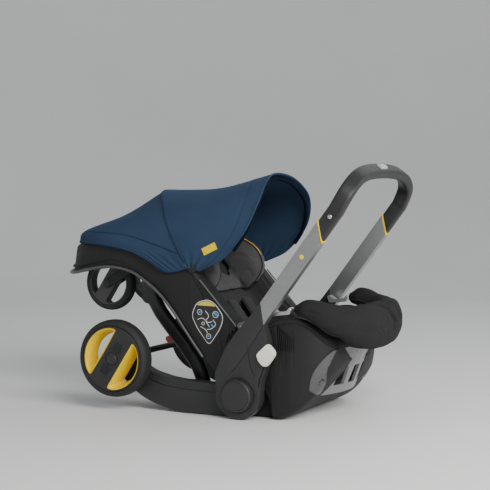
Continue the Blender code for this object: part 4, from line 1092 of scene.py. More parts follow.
def make_arm(name, side):
    """One lower arm with its folds, the hub's cap and the release tab in its pocket."""
    disc = hub_arc(0.0495, range(165, 361, 5))
    upper = [(0.052, 0.078), (0.064, 0.112), (0.069, 0.14), (0.069, 0.162),
             tuple(along(0.1526, -HALF_BAR)), tuple(along(0.1846, HALF_BAR)), (0.032, 0.218),
             (0.002, 0.186), (-0.031, 0.141), (-0.054, 0.088)]
    soft_upper = []
    corners = [Vector(disc[-1])] + [Vector(p) for p in upper] + [Vector(disc[0])]
    for i in range(1, len(corners) - 1):
        radius = 0.0015 if 5 <= i <= 6 else 0.014
        soft_upper += round_corner(*corners[i - 1:i + 2], radius, 5, 0.45)
    outline = disc + soft_upper
    arm = new_mesh("handle_arm_shown_" + name, side_prism(outline, side, ARM_INNER, ARM_OUTER), ARM)
    tab = [Vector(p) for p in rounded(TAB_OUTLINE, 0.006, 4)]
    middle = sum(tab, Vector((0.0, 0.0))) / len(tab)

    def wider(by):
        return [p + (p - middle).normalized() * by for p in tab]

    cut(arm, side_prism(wider(0.0008), side, 0.1866, BEYOND))
    for points, width, floor in ARM_FOLDS:
        groove(arm, side, points, 8, width, floor)
    cut(arm, ring_lathe([(0.0362, 0.1895), (0.0362, 0.196), (0.0348, 0.196), (0.0348, 0.1895)],
                        side, HUB_AT, 72))
    soften(arm, 0.0016, 3, 40.0)
    show(arm, "handle", "handle_arm_" + name)
    cap = [(0.0, 0.1905), (0.0335, 0.1905), (0.0335, 0.2), (0.0331, 0.2016), (0.032, 0.203),
           (0.03, 0.2039), (0.0296, 0.2034), (0.0288, 0.2034), (0.0284, 0.2043),
           (0.02, 0.2048), (0.0, 0.205)]
    show(new_mesh("hub_cap_shown_" + name, side_lathe(cap, side, HUB_AT, 96), ARM, 30.0),
         "handle", "hub_cap_" + name)
    body = side_prism(tab, side, 0.1868, 0.1965, 0.002, 4)
    button = new_mesh("handle_tab_shown_" + name, body, CREAM)
    groove(button, side, ((0.056, 0.126), (0.066, 0.129), (0.077, 0.139)), 6, 0.0009, 0.1958)
    show(button, "handle_tab_" + name, "handle_tab_" + name)
    # A near-black sheet at the pocket floor, seen through the slit round the tab: painted shade in the
    # gap.
    gap = side_prism(wider(0.0006), side, 0.186, 0.187)
    show(new_mesh("handle_tab_gap_" + name, gap, GAP_SHADE), "handle")


def quad(a, b, c, d):
    """A four-sided outline from places along the handle bar."""
    return [along(*p) for p in (a, b, c, d)]


def make_bar(name, side):
    """One aluminium bar with its coloured ring, dot and latch pin."""
    bar = new_mesh("handle_bar_shown_" + name, side_prism(
        rounded(quad((0.1845, HALF_BAR), (0.1525, -HALF_BAR), (0.36, -HALF_BAR),
                     (0.3905, HALF_BAR)), 0.0006, 2), side, 0.17, 0.191, 0.003, 5), BARS, 30.0)
    for lateral in (-0.0118, 0.0118):
        line = [along(0.192, lateral), along(0.357 + lateral, lateral)]
        cut(bar, side_prism(ribbon(line, 0.0006), side, 0.1907, BEYOND))
    show(bar, "handle", "handle_bar_" + name)
    soft_copy("handle_ring_" + name, YELLOW, 0.0006, 2, "handle")
    x, z = along(DOT_ALONG)
    dot = [(0.0, 0.1905), (0.0047, 0.1905), (0.0047, 0.1918), (0.0042, 0.1926), (0.0028, 0.1931),
           (0.0, 0.1932)]
    show(new_mesh("handle_dot_shown_" + name, side_lathe(dot, side, (x, z), 40), YELLOW),
         "handle", "handle_dot_" + name)
    x, z = along(PIN_ALONG)
    pin = [(0.0, 0.186), (0.0047, 0.186), (0.0047, 0.1918), (0.004, 0.1928), (0.0022, 0.1932),
           (0.0, 0.1933)]
    show(new_mesh("grip_pin_shown_" + name, side_lathe(pin, side, (x, z), 40), BRIGHT, 50.0),
         "grip_pin_" + name, "grip_pin_" + name)
    rim = ring_lathe([(0.0068, 0.1908), (0.0066, 0.1917), (0.0056, 0.1917), (0.0053, 0.1908)],
                     side, (x, z), 40)
    show(new_mesh("grip_pin_rim_" + name, rim, GRIP_PLASTIC), "grip")


def sweep(path, sections, up):
    """Carry side-by-side sections (across, lift) along a path, kept upright by a fixed vector."""
    rings = []
    for i, (p, section) in enumerate(zip(path, sections)):
        tangent = tangent_at(path, i)
        side = tangent.cross(Vector(up)).normalized()
        lift = side.cross(tangent).normalized()
        rings.append([p + side * a + lift * b for a, b in section])
    return loft(rings)


def make_grip():
    """The bent grip with its two inner tubes and the button at its top."""
    middle = 0.1805
    low_x, low_z = along(0.356)
    mid_x, mid_z = along(0.42)
    end_x, end_z = along(0.432)
    half = [(low_x, -middle, low_z), (mid_x, -middle, mid_z), (end_x, -middle, end_z),
            (0.2285, -0.1705, 0.465), (0.235, -0.142, 0.488), (0.2355, -0.104, 0.5),
            (0.2335, -0.052, 0.505)]
    full = half + [tuple(GRIP_TOP)] + [(x, -y, z) for x, y, z in reversed(half)]
    path = curve_through(full, 10)
    section = rounded([(-0.0105, -0.01625), (0.0105, -0.01625), (0.0105, 0.01625), (-0.0105, 0.01625)],
                      0.0078, 6)
    up = (-math.sin(HANDLE_ANGLE), 0.0, math.cos(HANDLE_ANGLE))
    grip = new_mesh("grip_shown", sweep(path, [section] * len(path), up), GRIP_PLASTIC, 60.0)
    for _, side in SIDES:
        cut(grip, side_prism(quad((0.4023, 0.024), (0.359, -0.024), (0.3, -0.024), (0.3, 0.024)), side,
                             0.16, BEYOND))
    recess = rounded([top_point(a, b) for a, b in ((0.004, -0.0079), (0.03, -0.0079),
                                                   (0.03, 0.0079), (0.004, 0.0079))], 0.002, 3)
    cut(grip, prism(recess, -0.0169, 0.0169))
    show(grip, "grip", "grip")
    for name, side in SIDES:
        inner = HALF_BAR - 0.0024
        inner_tube = side_prism(quad((0.215, inner), (0.215, -inner), (0.404, -inner), (0.404, inner)),
                                side, 0.1726, 0.1884, 0.0015)
        show(new_mesh("grip_tube_" + name, inner_tube, STEEL), "grip")
    button = rounded([top_point(a, b) for a, b in ((0.0035, -0.0073), (0.014, -0.0068), (0.0152, 0.0),
                                                   (0.014, 0.0068), (0.0035, 0.0073))], 0.002, 4)
    obj = new_mesh("grip_button_shown", prism(button, -0.0163, 0.0163, 0.0022, 4), PALE)
    for k in range(5):
        y = -0.008 + 0.004 * k
        slot = [top_point(a, b) for a, b in ((0.0146, -0.0048), (0.02, -0.0048),
                                             (0.02, 0.0048), (0.0146, 0.0048))]
        cut(obj, prism(slot, y - 0.0006, y + 0.0006))
    show(obj, "grip_button", "grip_button")


def make_handle():
    """Both sides of the handle, then the grip that joins them."""
    for name, side in SIDES:
        make_arm(name, side)
        make_bar(name, side)
    make_grip()


make_handle()


# ------------------------------------------------------------------ legs and wheels

LEG_INNER = 0.139
LEG_OUTER = 0.1655
LEG_RIB = ((-0.06, 0.048), (-0.12, 0.05), (-0.175, 0.054), (-0.218, 0.066), (-0.242, 0.085))
REAR_WHEEL = Vector((-0.283, 0.0, 0.111))
FRONT_PIVOT = Vector((-0.125, 0.0, 0.04))
FRONT_WHEEL = Vector((-0.357, 0.0, 0.26))
FRONT_MID = 0.094
FRONT_THICK = 0.024
BAND_ANGLE = math.radians(57.0)
FACE_OPENING, FACE_CHORD = 0.066, 0.023
DISH_OPENING, DISH_CHORD = 0.0664, 0.0226
CASTER_OPENING, CASTER_CHORD = 0.044, 0.015
CORNER_REACH = 0.007
THROUGH = (0.1, 0.3)
D_STEPS = 20
LEG = moulded("leg_plastic", (0.024, 0.0242, 0.025), 0.44)
FRAME = moulded("front_frame_plastic", (0.018, 0.0182, 0.019), 0.38, 0.3, 0.15)
WHEEL_FACE = moulded("wheel_face_plastic", (0.023, 0.0232, 0.024), 0.5, 0.4)
CASTER_GREY = moulded("caster_face_plastic", (0.048, 0.048, 0.05), 0.45)


def make_legs():
    """The rear legs with their axle, cross rod, brake and carry hook."""
    disc = hub_arc(0.0455, range(-90, 151, 5))
    upper = flat_curve([(-0.056, 0.064), (-0.085, 0.0665), (-0.12, 0.068), (-0.148, 0.069),
                        (-0.183, 0.074), (-0.221, 0.085), (-0.25, 0.105), (-0.264, 0.13),
                        (-0.283, 0.14), (-0.303, 0.132), (-0.311, 0.112), (-0.3, 0.085),
                        (-0.276, 0.056), (-0.248, 0.034), (-0.218, 0.019), (-0.183, 0.008),
                        (-0.15, 0.0012), (-0.125, 0.0002)], 5)
    outline = disc + upper + [(-0.03, 0.0)]
    for name, side in SIDES:
        leg = new_mesh("rear_leg_shown_" + name,
                       side_prism(outline, side, LEG_INNER, LEG_OUTER, 0.0058, 5), LEG, 40.0)
        groove(leg, side, LEG_RIB, 6, 0.0016, LEG_OUTER - 0.0013)
        hollow = ribbon(flat_curve(LEG_RIB, 6), 0.012)
        cut(leg, side_prism(hollow, side, LEG_INNER - 0.019, LEG_INNER + 0.005))
        show(leg, "rear_legs", "rear_leg_" + name)
    axle = circle(REAR_WHEEL.x, REAR_WHEEL.z, 0.0069, 32)
    show(new_mesh("rear_axle_shown", prism(axle, -0.2118, 0.2118, 0.0006), TRIM), "rear_legs",
         "rear_axle")
    rod = circle(FRONT_PIVOT.x, FRONT_PIVOT.z, 0.006, 32)
    show(new_mesh("fold_rod_shown", prism(rod, -0.1515, 0.1515), STEEL), "rear_legs", "fold_rod")
    make_brake()
    hook_path = curve_through([(-0.21, 0.129, 0.072), (-0.221, 0.127, 0.095), (-0.221, 0.1255, 0.123),
                               (-0.205, 0.125, 0.141), (-0.184, 0.126, 0.144), (-0.175, 0.129, 0.133)],
                              8)
    show(tube("fold_hook", hook_path, 0.0034, BRIGHT, 12), "rear_legs")


def make_brake():
    """The brake pedal with five grip ridges."""
    outline = rounded([(-0.33, 0.118), (-0.318, 0.126), (-0.2985, 0.119), (-0.2915, 0.105),
                       (-0.3, 0.096), (-0.318, 0.104)], 0.005, 5)
    pedal = new_mesh("brake_pedal_shown", prism(outline, 0.095, 0.133, 0.0024, 4), RED)
    for k in range(5):
        y = 0.101 + 0.0065 * k
        ridge = [(-0.332, 0.115), (-0.32, 0.128), (-0.316, 0.1262), (-0.328, 0.113)]
        cut(pedal, prism(ridge, y, y + 0.002))
    show(pedal, "brake", "brake_pedal")


def d_points(centre, radius, chord, flip, inset=0.0):
    """A D-shaped opening: an arc of the wheel and a chord beside the middle band."""
    reach = radius - inset
    edge = chord + inset
    span = math.acos(edge / reach)
    normal = BAND_ANGLE + math.pi / 2 + (math.pi if flip else 0.0)
    arc_points = [(reach * math.cos(normal + span * (2 * k / D_STEPS - 1.0)),
                   reach * math.sin(normal + span * (2 * k / D_STEPS - 1.0)))
                  for k in range(D_STEPS + 1)]
    points = [Vector((centre.x + x, centre.z + z)) for x, z in arc_points]
    out = []
    count = len(points)
    for i, here in enumerate(points):
        if i not in (0, count - 1):
            out.append(here)
            continue
        before, after = points[i - 1], points[(i + 1) % count]
        if i == 0:
            start = here + (before - here).normalized() * CORNER_REACH
            end = points[2]
        else:
            start = points[-3]
            end = here + (after - here).normalized() * CORNER_REACH
        out += bend(start, here, end, 6)
    return [p for i, p in enumerate(out) if i not in (7, 8, len(out) - 8, len(out) - 9)]


def band_groove(centre, offset, length, width):
    """A short groove across the wheel's middle band, offset along the band."""
    ahead = Vector((math.cos(BAND_ANGLE), math.sin(BAND_ANGLE)))
    across = Vector((-ahead.y, ahead.x))
    middle = Vector((centre.x, centre.z)) + ahead * offset
    return ribbon([middle - across * length / 2, middle + across * length / 2], width)


def dish_wall(centre, side, flip):
    """The sloping lining of one D opening, as a thin solid wall."""
    rows = []
    for inset, y in ((0.0004, 0.2174), (0.001, 0.2184), (0.003, 0.218), (0.0056, 0.212),
                     (0.012, 0.1885), (0.0126, 0.1856), (0.0095, 0.1856), (0.0004, 0.189)):
        rows.append([Vector((p.x, side * y, p.y))
                     for p in d_points(centre, DISH_OPENING, DISH_CHORD, flip, inset)])
    return loft(rows, closed_path=True)


def make_rear_wheels():
    """Each rear wheel: grooved tyre, cut-out face, two dish walls, back plate, boss and cap."""
    c = REAR_WHEEL
    at = (c.x, c.z)
    profile = [(0.0706, 0.1865), (0.0745, 0.1848), (0.078, 0.1848), (0.0802, 0.187), (0.0815, 0.191),
               (0.082, 0.196), (0.082, 0.201), (0.0817, 0.207), (0.0806, 0.212), (0.0788, 0.2155),
               (0.0762, 0.2182), (0.0735, 0.2194), (0.0712, 0.2192), (0.07, 0.218), (0.07, 0.203)]
    for name, side in SIDES:
        tyre = new_mesh("rear_tyre_shown_" + name, ring_lathe(profile, side, at, 128), TYRE, 50.0)
        grooves = bmesh.new()
        for y in (0.1915, 0.1985, 0.2055):
            join(grooves, ring_lathe([(0.0812, y), (0.084, y - 0.0004), (0.084, y + 0.0012),
                                      (0.0812, y + 0.0008)], side, at, 128))
        cut(tyre, grooves)
        show(tyre, "rear_wheel_" + name, "rear_tyre_" + name)
        face = [(0.0, 0.19), (0.0696, 0.19), (0.0696, 0.2176), (0.0684, 0.2188),
                (0.066, 0.2194), (0.056, 0.2186), (0.03, 0.2172), (0.0, 0.2164)]
        rim = new_mesh("rear_rim_shown_" + name, side_lathe(face, side, at, 96), WHEEL_FACE, 30.0)
        for flip in (False, True):
            cut(rim, side_prism(d_points(c, FACE_OPENING, FACE_CHORD, flip), side, *THROUGH))
        marks = bmesh.new()
        for sign in (-1, 1):
            for k in range(6):
                offset = sign * (0.019 + 0.0036 * k)
                join(marks, side_prism(band_groove(c, offset, 0.025 - 0.0014 * k, 0.0012), side,
                                       0.215, 0.23))
        cut(rim, marks)
        cut(rim, ring_lathe([(0.014, 0.215), (0.0152, 0.215), (0.0152, 0.226), (0.014, 0.226)], side,
                            at, 64))
        show(rim, "rear_wheel_" + name, "rear_rim_" + name)
        dish = new_mesh("rear_dish_shown_" + name, dish_wall(c, side, False), YELLOW, 40.0)
        show(dish, "rear_wheel_" + name, "rear_dish_" + name)
        show(new_mesh("rear_dish_second_" + name, dish_wall(c, side, True), YELLOW, 40.0),
             "rear_wheel_" + name)
        back = new_mesh("rear_back_" + name,
                        side_prism(circle(*at, 0.0702, 96), side, 0.1836, 0.1858, 0.0006),
                        TRIM)
        for flip in (False, True):
            cut(back, side_prism(d_points(c, DISH_OPENING, DISH_CHORD, flip, 0.0122), side, *THROUGH))
        show(back, "rear_wheel_" + name)
        boss = [(0.0, 0.188), (0.0275, 0.188), (0.0282, 0.196), (0.0262, 0.206),
                (0.0225, 0.21), (0.0, 0.21)]
        show(new_mesh("rear_boss_" + name, side_lathe(boss, side, at, 64), YELLOW),
             "rear_wheel_" + name)
        cap = [(0.0, 0.216), (0.012, 0.216), (0.012, 0.2184), (0.0112, 0.2193), (0.0096, 0.2197),
               (0.0092, 0.2192), (0.0084, 0.2192), (0.008, 0.2198), (0.0, 0.22)]
        show(new_mesh("rear_cap_shown_" + name, side_lathe(cap, side, at, 64), ARM, 30.0),
             "rear_wheel_" + name, "rear_cap_" + name)


def remesh(obj, voxel, smooth=0):
    """One even skin of small faces over a shape, smoothed a few times."""
    modifier = obj.modifiers.new("remesh", "REMESH")
    modifier.mode = "VOXEL"
    modifier.voxel_size = voxel
    modifier.use_smooth_shade = True
    apply_all(obj)
    if smooth:
        modifier = obj.modifiers.new("smooth", "SMOOTH")
        modifier.factor = 0.5
        modifier.iterations = smooth
        apply_all(obj)
    smooth_all(obj)
    return obj


def make_front():
    """The front frame, and on each side a fork, tyre, rim and axle bolts."""
    frame_copy = copy_node("front_frame", "front_frame_shown", FRAME)
    remesh(frame_copy, 0.0022, 8)
    show(frame_copy, "front_legs", "front_frame")
    c = FRONT_WHEEL
    half = FRONT_THICK / 2
    for name, side in SIDES:
        y = side * FRONT_MID
        soft_copy("caster_fork_" + name, TRIM, 0.0009, 2, "caster_" + name, 40.0)
        tyre = [(0.0478, -half * 0.96), (0.054, -half), (0.057, -half * 0.86), (0.0588, -half * 0.6),
                (0.0597, -half * 0.3), (0.06, 0.0), (0.0597, half * 0.3), (0.0588, half * 0.6),
                (0.057, half * 0.86), (0.054, half), (0.0478, half * 0.96)]
        rows = [[Vector((px, y + t, pz)) for px, pz in circle(c.x, c.z, r, 96)] for r, t in tyre]
        show(new_mesh("front_tyre_shown_" + name, loft(rows, closed_path=True), TYRE, 50.0),
             "front_wheel_" + name, "front_tyre_" + name)
        ring = [(0.0043, -half), (0.047, -half), (0.0475, -half + 0.0012), (0.0475, half - 0.0012),
                (0.047, half), (0.0043, half)]
        rows = [[Vector((px, y + t, pz)) for px, pz in circle(c.x, c.z, r, 80)] for r, t in ring]
        rim = new_mesh("front_rim_shown_" + name, loft(rows, closed_path=True), CASTER_GREY, 40.0)
        for flip in (False, True):
            cut(rim, prism(d_points(c, CASTER_OPENING, CASTER_CHORD, flip), y - 0.05, y + 0.05))
        soften(rim, 0.001, 3, 40.0)
        show(rim, "front_wheel_" + name, "front_rim_" + name)
        for face in (-1, 1):
            bolt = [(0.0, face * (half + 0.0052)), (0.0068, face * (half + 0.0052)),
                    (0.0066, face * (half + 0.0066)), (0.005, face * (half + 0.0073)),
                    (0.0, face * (half + 0.0074))]
            show(new_mesh("caster_bolt_%s_%d" % (name, face + 1),
                          side_lathe([(r, y + t) for r, t in bolt], 1.0, (c.x, c.z), 40), ARM),
                 "caster_" + name)


make_legs()
make_rear_wheels()
make_front()


# ------------------------------------------------------------------ soft parts

def puff(obj, voxel, pressure, cap, frames, grow):
    """Stuff a closed body: a short pressurised cloth run, with every point's travel capped."""
    remesh(obj, voxel, 2)
    rest = [v.co.copy() for v in obj.data.vertices]
    cloth = obj.modifiers.new("cloth", "CLOTH")
    settings = cloth.settings
    settings.quality = 5
    settings.mass = 0.15
    settings.tension_stiffness = 12.0
    settings.compression_stiffness = 12.0
    settings.shear_stiffness = 4.0
    settings.bending_stiffness = 0.6
    settings.use_pressure = True
    settings.uniform_pressure_force = pressure
    settings.effector_weights.gravity = 0.0
    settings.shrink_min = -grow
    cloth.collision_settings.use_collision = False
    cloth.point_cache.frame_start = 1
    cloth.point_cache.frame_end = frames
    for frame_number in range(1, frames + 1):
        bpy.context.scene.frame_set(frame_number)
    apply_all(obj)
    bpy.context.scene.frame_set(1)
    for v, start in zip(obj.data.vertices, rest):
        move = v.co - start
        if move.length > cap:
            v.co = start + move * (cap / move.length)
    modifier = obj.modifiers.new("fine", "SUBSURF")
    modifier.levels = 1
    modifier.render_levels = 1
    apply_all(obj)
    smooth_all(obj)
    return obj


def press(obj, depth):
    """Move every point along its normal by depth(place)."""
    bm = bmesh.new()
    bm.from_mesh(obj.data)
    bm.normal_update()
    moves = [(v, v.normal * depth(v.co)) for v in bm.verts]
    for v, move in moves:
        v.co += move
    bm.to_mesh(obj.data)
    bm.free()
    return obj


def creases(place, scale, seed):
    """Rumpled cloth: ridged noise, 0 on flats and 1 on a crease."""
    value = noise.noise(place * scale + Vector((seed, 0.0, 0.0)))
    return max(0.0, 1.0 - abs(value) * 5.0)


def valley(place, path, width):
    """1 on a line of points, falling to 0 a width away."""
    gap = min((place - p).length_squared for p in path)
    return math.exp(-gap / (width * width))


def make_bumper():
    """The stuffed roll round the foot end, with one long fold, one short one and piping."""
    half = [(0.106, -0.144, 0.228, 0.018), (0.14, -0.144, 0.223, 0.0235), (0.176, -0.134, 0.208, 0.03),
            (0.208, -0.108, 0.196, 0.038), (0.225, -0.07, 0.19, 0.044), (0.23, 0.0, 0.188, 0.046)]
    full = half + [(x, -y, z, r) for x, y, z, r in reversed(half[:-1])]
    path = curve_through([row[:3] for row in full], 6)
    radii = curve_through([(r, 0.0, 0.0) for _, _, _, r in full], 6)
    sections = []
    for i, r in enumerate(radii):
        tip = min(1.0, 0.35 + min(i, len(radii) - 1 - i) / 6.0)
        sections.append([(min(r.x, 0.031) * 0.92 * tip * math.cos(math.tau * k / 28),
                          r.x * 1.12 * tip * math.sin(math.tau * k / 28)) for k in range(28)])
    bumper = new_mesh("foot_bumper_shown", sweep(path, sections, (0, 0, 1)), CLOTH_SOFT, 60.0)
    keep_off = [(0.09, 0.11), (0.204, 0.11), (0.2075, 0.145), (0.205, 0.162), (0.192, 0.176),
                (0.168, 0.192), (0.15, 0.203), (0.13, 0.212), (0.105, 0.2135), (0.09, 0.212)]
    cut(bumper, prism(keep_off, -0.2, BEYOND))
    puff(bumper, 0.005, 5.0, 0.004, 20, 0.05)
    fold_near = curve_through([(0.172, -0.112, 0.245), (0.2, -0.088, 0.243), (0.224, -0.052, 0.238),
                               (0.243, -0.02, 0.226), (0.252, 0.012, 0.206), (0.246, 0.03, 0.19),
                               (0.236, 0.016, 0.184)], 10)
    fold_far = curve_through([(0.205, 0.02, 0.236), (0.228, 0.03, 0.236), (0.246, 0.046, 0.22),
                              (0.25, 0.06, 0.2)], 10)
    fold_near, fold_far = ([bumper.closest_point_on_mesh(p)[1] for p in fold]
                           for fold in (fold_near, fold_far))

    def depth(p):
        d = -0.0085 * valley(p, fold_near, 0.0065) - 0.0062 * valley(p, fold_far, 0.006)
        stretched = Vector((p.x * 0.6, p.y * 0.55, p.z * 1.3))
        d -= 0.0018 * creases(stretched, 24.0, 3.0) * (0.35 + 0.65 * creases(p, 9.0, 8.0))
        d += 0.0022 * noise.noise(p * 20.0)
        d += 0.0022 * (valley(p, fold_near, 0.015) - valley(p, fold_near, 0.006))
        return d

    press(bumper, depth)
    show(bumper, "seat", "foot_bumper")
    for name, sign in SIDES:
        line = curve_through([(0.112, sign * 0.121, 0.223), (0.145, sign * 0.1195, 0.2215),
                              (0.172, sign * 0.106, 0.215), (0.19, sign * 0.082, 0.208),
                              (0.199, sign * 0.042, 0.205), (0.201, 0.0, 0.205)], 8)
        seam_on(bumper, "bumper_piping_" + name, line, 0.0014, CORD)


def seam_on(obj, name, line, radius, mat):
    """A piping cord laid on the nearest surface of a soft piece."""
    points = []
    for p in line:
        hit, place, normal, _ = obj.closest_point_on_mesh(p)
        if hit:
            points.append(place + normal * radius * 0.35)
    cord = tube(name, spread(smoothed(points, 3), 0.003), radius, mat, 8)
    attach(cord, "seat")
    return cord


def wall_y(x, z, inset):
    """Half the seat space's width at a place in the side view."""
    rows = BUCKET_STATIONS
    x = min(max(x, rows[0][0]), rows[-1][0])
    for a, b in zip(rows[:-1], rows[1:]):
        if a[0] <= x <= b[0]:
            t = (x - a[0]) / (b[0] - a[0])
            low, high, floor = (a[k] + (b[k] - a[k]) * t for k in (1, 2, 3))
            return low + (high - low) / (BUCKET_TOP - floor) * (z - floor) - inset
    return rows[-1][1]


LINER_EDGE = [(-0.3, 0.354), (-0.24, 0.356), (-0.165, 0.328), (-0.104, 0.279),
              (-0.052, 0.222), (-0.015, 0.189), (0.01, 0.181), (0.045, 0.187),
              (0.075, 0.199), (0.105, 0.203), (0.14, 0.193)]


def make_liner():
    """The bucket's quilted lining, cut to a sloping edge with piping and stitches."""
    liner = new_mesh("seat_liner_shown", bucket(0.0014, BUCKET_TOP - 0.05), CLOTH)
    cut(liner, bucket(0.0108, BUCKET_TOP + 0.05))
    edge = [(-0.36, 0.352), *LINER_EDGE[1:-1], (0.15, 0.189), (0.185, 0.164),
            (0.23, 0.15), (0.23, 0.7), (-0.36, 0.7)]
    cut(liner, prism(edge, -0.25, 0.25))
    remesh(liner, 0.0036, 2)
    modifier = liner.modifiers.new("fine", "SUBSURF")
    modifier.levels = 1
    apply_all(liner)

    def depth(p):
        inward = wall_y(p.x, p.z, 0.0065) > abs(p.y)
        if not inward:
            return 0.0
        quilt = abs(math.sin((p.x - p.z) * 52.0))
        channel = math.exp(-(quilt / 0.16) ** 2)
        return -0.0016 * channel + 0.0006 * noise.noise(p * 40.0)

    press(liner, depth)
    smooth_all(liner)
    show(liner, "seat", "seat_liner")
    for name, side in SIDES:
        line = []
        for x, z in flat_curve(LINER_EDGE, 6):
            line.append(Vector((x, side * wall_y(x, z, 0.0052), z + 0.0006)))
        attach(tube("liner_piping_" + name, spread(line, 0.003), 0.0019, CORD, 8), "seat")
        seam = [Vector((p.x + 0.004, p.y - side * 0.0056, p.z - 0.0115)) for p in line[6:-4]]
        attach(stitches("liner_stitch_" + name, seam, (0.0, -side, 0.1), THREAD_DARK, 0.0042,
                         0.003, 0.0004), "seat")


WING = [(-0.212, 0.33), (-0.2, 0.3415), (-0.15, 0.357), (-0.1085, 0.3445),
        (-0.081, 0.312), (-0.083, 0.2765), (-0.1105, 0.243), (-0.122, 0.237)]


def make_pillow():
    """The head pillow with its wings, ribs, piping and accent seams."""
    pillow = copy_node("head_pillow", "head_pillow_shown", PILLOW_PAINTED_LIGHT)
    puff(pillow, 0.0048, 4.0, 0.0035, 20, 0.04)

    def depth(p):
        d = 0.0012 * noise.noise(p * 30.0) - 0.0009 * creases(p, 24.0, 5.0)
        centre = math.exp(-(p.y / 0.004) ** 2)
        ribs = math.exp(-((abs(p.y) - 0.05) / 0.004) ** 2)
        return d - 0.0022 * (centre + ribs * 0.8)

    press(pillow, depth)
    show(pillow, "seat", "head_pillow")
    for name, side in SIDES:
        line = [Vector((x, side * 0.0985, z)) for x, z in flat_curve(WING, 8)]
        seam_on(pillow, "pillow_piping_" + name, line, 0.0017, CORD)
        accent = [Vector((x, side * 0.106, z))
                  for x, z in flat_curve([(-0.142, 0.356), (-0.125, 0.353), (-0.1085, 0.345),
                                          (-0.096, 0.333), (-0.0865, 0.32)], 8)]
        seam_on(pillow, "pillow_accent_" + name, accent, 0.0012, ACCENT)


def make_pad():
    """The seat pad with sewn channels across it and piping along its sides."""
    pad = copy_node("seat_pad", "seat_pad_shown", CLOTH)
    puff(pad, 0.0046, 4.0, 0.003, 20, 0.04)

    def depth(p):
        along_pad = p.x * 0.72 - p.z * 0.69
        channel = abs(math.sin(along_pad * 46.0 + 0.7))
        d = -0.002 * math.exp(-(channel / 0.14) ** 2) * (1.0 if abs(p.y) < 0.07 else 0.3)
        return d + 0.0009 * noise.noise(p * 34.0)

    press(pad, depth)
    show(pad, "seat", "seat_pad")
    spine = [(-0.118, 0.22), (-0.085, 0.176), (-0.05, 0.13), (-0.02, 0.101),
             (0.02, 0.089), (0.06, 0.0905), (0.086, 0.1)]
    for name, side in SIDES:
        line = [Vector((x, side * 0.087, z)) for x, z in flat_curve(spine, 8)]
        seam_on(pad, "pad_piping_" + name, line, 0.0015, CORD)


def strap(name, path, width, thickness, mat, up):
    """A woven strap with thicker selvedges, carried along a path."""
    section = []
    half = width / 2
    for a in np.linspace(-half, half, 17):
        swell = 1.0 + 0.45 * math.exp(-((abs(a) - half * 0.9) / (half * 0.06)) ** 2)
        section.append((float(a), thickness / 2 * swell))
    section += [(a, -b) for a, b in reversed(section)]
    return new_mesh(name, sweep(path, [section] * len(path), up), mat, 40.0)


def make_harness():
    """Straps, shoulder pads, the buckle and the two belt guides."""
    for name, side in SIDES:
        spine = [(-0.1, 0.22), (-0.079, 0.19), (-0.048, 0.149), (-0.015, 0.118), (0.008, 0.106)]
        offsets = (0.036, 0.036, 0.032, 0.022, 0.014)
        path = curve_through([(x, side * y, z) for (x, z), y in zip(spine, offsets)], 10)
        show(strap("harness_shown_" + name, path, 0.022, 0.0013, WEB, (0, 0, 1)), "seat",
             "harness_" + name)
        pad = copy_node("shoulder_pad_" + name, "shoulder_pad_shown_" + name, CLOTH)
        puff(pad, 0.0028, 3.0, 0.0016, 16, 0.03)
        press(pad, lambda p: 0.0005 * noise.noise(p * 60.0))
        show(pad, "seat", "shoulder_pad_" + name)
        middle = curve_through([(-0.093, 0.0, 0.227), (-0.074, 0.0, 0.2005), (-0.048, 0.0, 0.1675)], 8)
        for edge in (-1, 1):
            line = [Vector((p.x + 0.003, side * 0.035 + edge * 0.0178, p.z + 0.002)) for p in middle]
            seam_on(pad, "shoulder_piping_%s_%d" % (name, edge + 1), line, 0.001, CORD)
    path = curve_through([(0.025, 0.0, 0.0885), (0.029, 0.0, 0.094), (0.031, 0.0, 0.102)], 6)
    show(strap("crotch_strap_shown", path, 0.028, 0.0018, WEB, (1, 0, 0)), "seat", "crotch_strap")
    soft_copy("buckle", TRIM, 0.001, 3, "seat")
    soft_copy("buckle_button", RED, 0.0005, 2, "buckle_button")
    for name, _ in SIDES:
        soft_copy("belt_guide_" + name, BRIGHT, 0.0007, 2, "seat")


make_liner()
make_pillow()
make_pad()
make_bumper()
make_harness()


# ------------------------------------------------------------------ studio and camera

STAGE_FLAT = 2.6
STAGE_CURVE = 2.0
STAGE_TOP = 2.6
STAGE_DROP = 0.0006
CAMERA_PLACE = (1.283, -2.787, 0.526)
CAMERA_TURN = math.radians(26.0)
CAMERA_DROP = math.radians(3.34)
CAMERA_LENS = 105.3


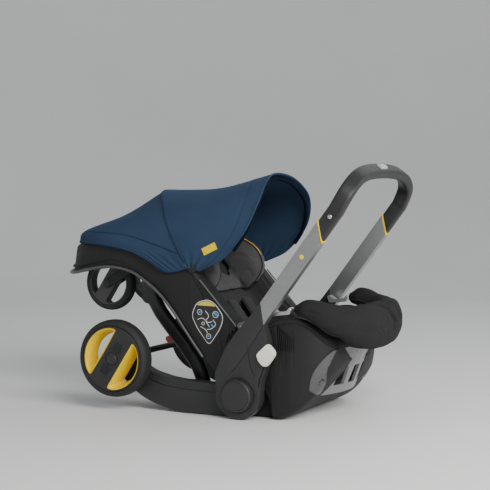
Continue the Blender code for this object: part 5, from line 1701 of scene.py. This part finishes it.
def build_stage():
    """A pale round floor that curves up into a low wall on every side."""
    floor = Shader("studio_floor", (0.8, 0.8, 0.795), 0.62)
    haze = floor.noise(3.0, 4.0)
    floor.base(floor.tint(haze, (0.78, 0.78, 0.775), (0.83, 0.83, 0.825)))
    floor.rough(floor.span(haze, 0.55, 0.7))
    profile = [(STAGE_FLAT * k / 4, 0.0) for k in range(1, 5)]
    for k in range(1, 17):
        turn = math.pi / 2 * k / 16
        profile.append((STAGE_FLAT + STAGE_CURVE * math.sin(turn),
                        STAGE_CURVE * (1.0 - math.cos(turn))))
    profile.append((STAGE_FLAT + STAGE_CURVE, STAGE_TOP))
    bm = bmesh.new()
    count = 96
    rings = [[bm.verts.new((r * math.cos(math.tau * k / count), r * math.sin(math.tau * k / count),
                            z - STAGE_DROP)) for k in range(count)] for r, z in profile]
    bm.faces.new(rings[0])
    for low, high in zip(rings[:-1], rings[1:]):
        for k in range(count):
            bm.faces.new((low[k], low[(k + 1) % count], high[(k + 1) % count], high[k]))
    new_mesh("backdrop", bm, floor.mat, 80.0)


def area_light(name, place, target, size, power, colour=(1, 1, 1)):
    """A soft rectangular light that faces a target."""
    data = bpy.data.lights.new(name, "AREA")
    data.shape = "RECTANGLE"
    data.size, data.size_y = size
    data.energy = power
    data.color = colour
    obj = bpy.data.objects.new(name, data)
    obj.location = place
    obj.rotation_euler = (Vector(target) - Vector(place)).to_track_quat("-Z", "Y").to_euler()
    bpy.context.scene.collection.objects.link(obj)


def build_lights():
    """A dim even sky and five soft lights."""
    world = bpy.data.worlds.new("studio")
    world.use_nodes = True
    sky = world.node_tree.nodes["Background"].inputs
    sky["Color"].default_value = (0.93, 0.96, 1.0, 1.0)
    sky["Strength"].default_value = 0.34
    bpy.context.scene.world = world
    middle = (-0.08, 0.0, 0.25)
    area_light("key", (1.7, -1.8, 1.8), middle, (1.2, 1.0), 60.0, (1.0, 0.985, 0.96))
    area_light("fill", (-2.0, -2.2, 1.0), middle, (1.6, 1.6), 5.0, (0.94, 0.97, 1.0))
    area_light("rim", (-0.3, 2.3, 2.2), middle, (2.6, 1.4), 12.0)
    area_light("front", (2.5, -1.0, 1.3), (-0.05, 0.0, 0.28), (0.9, 0.9), 46.0)
    area_light("strip", (1.6, 0.9, 1.0), (0.2, 0.0, 0.35), (0.3, 1.4), 8.0)


def build_camera():
    """A long lens low at the right foot end."""
    data = bpy.data.cameras.new("camera")
    data.lens = CAMERA_LENS
    data.sensor_width = 36.0
    data.clip_start = 0.05
    data.clip_end = 50.0
    obj = bpy.data.objects.new("camera", data)
    obj.location = CAMERA_PLACE
    level = math.cos(CAMERA_DROP)
    look = Vector((-math.sin(CAMERA_TURN) * level, math.cos(CAMERA_TURN) * level,
                   -math.sin(CAMERA_DROP)))
    obj.rotation_euler = look.to_track_quat("-Z", "Y").to_euler()
    bpy.context.scene.collection.objects.link(obj)
    bpy.context.scene.camera = obj


build_stage()
build_lights()
build_camera()
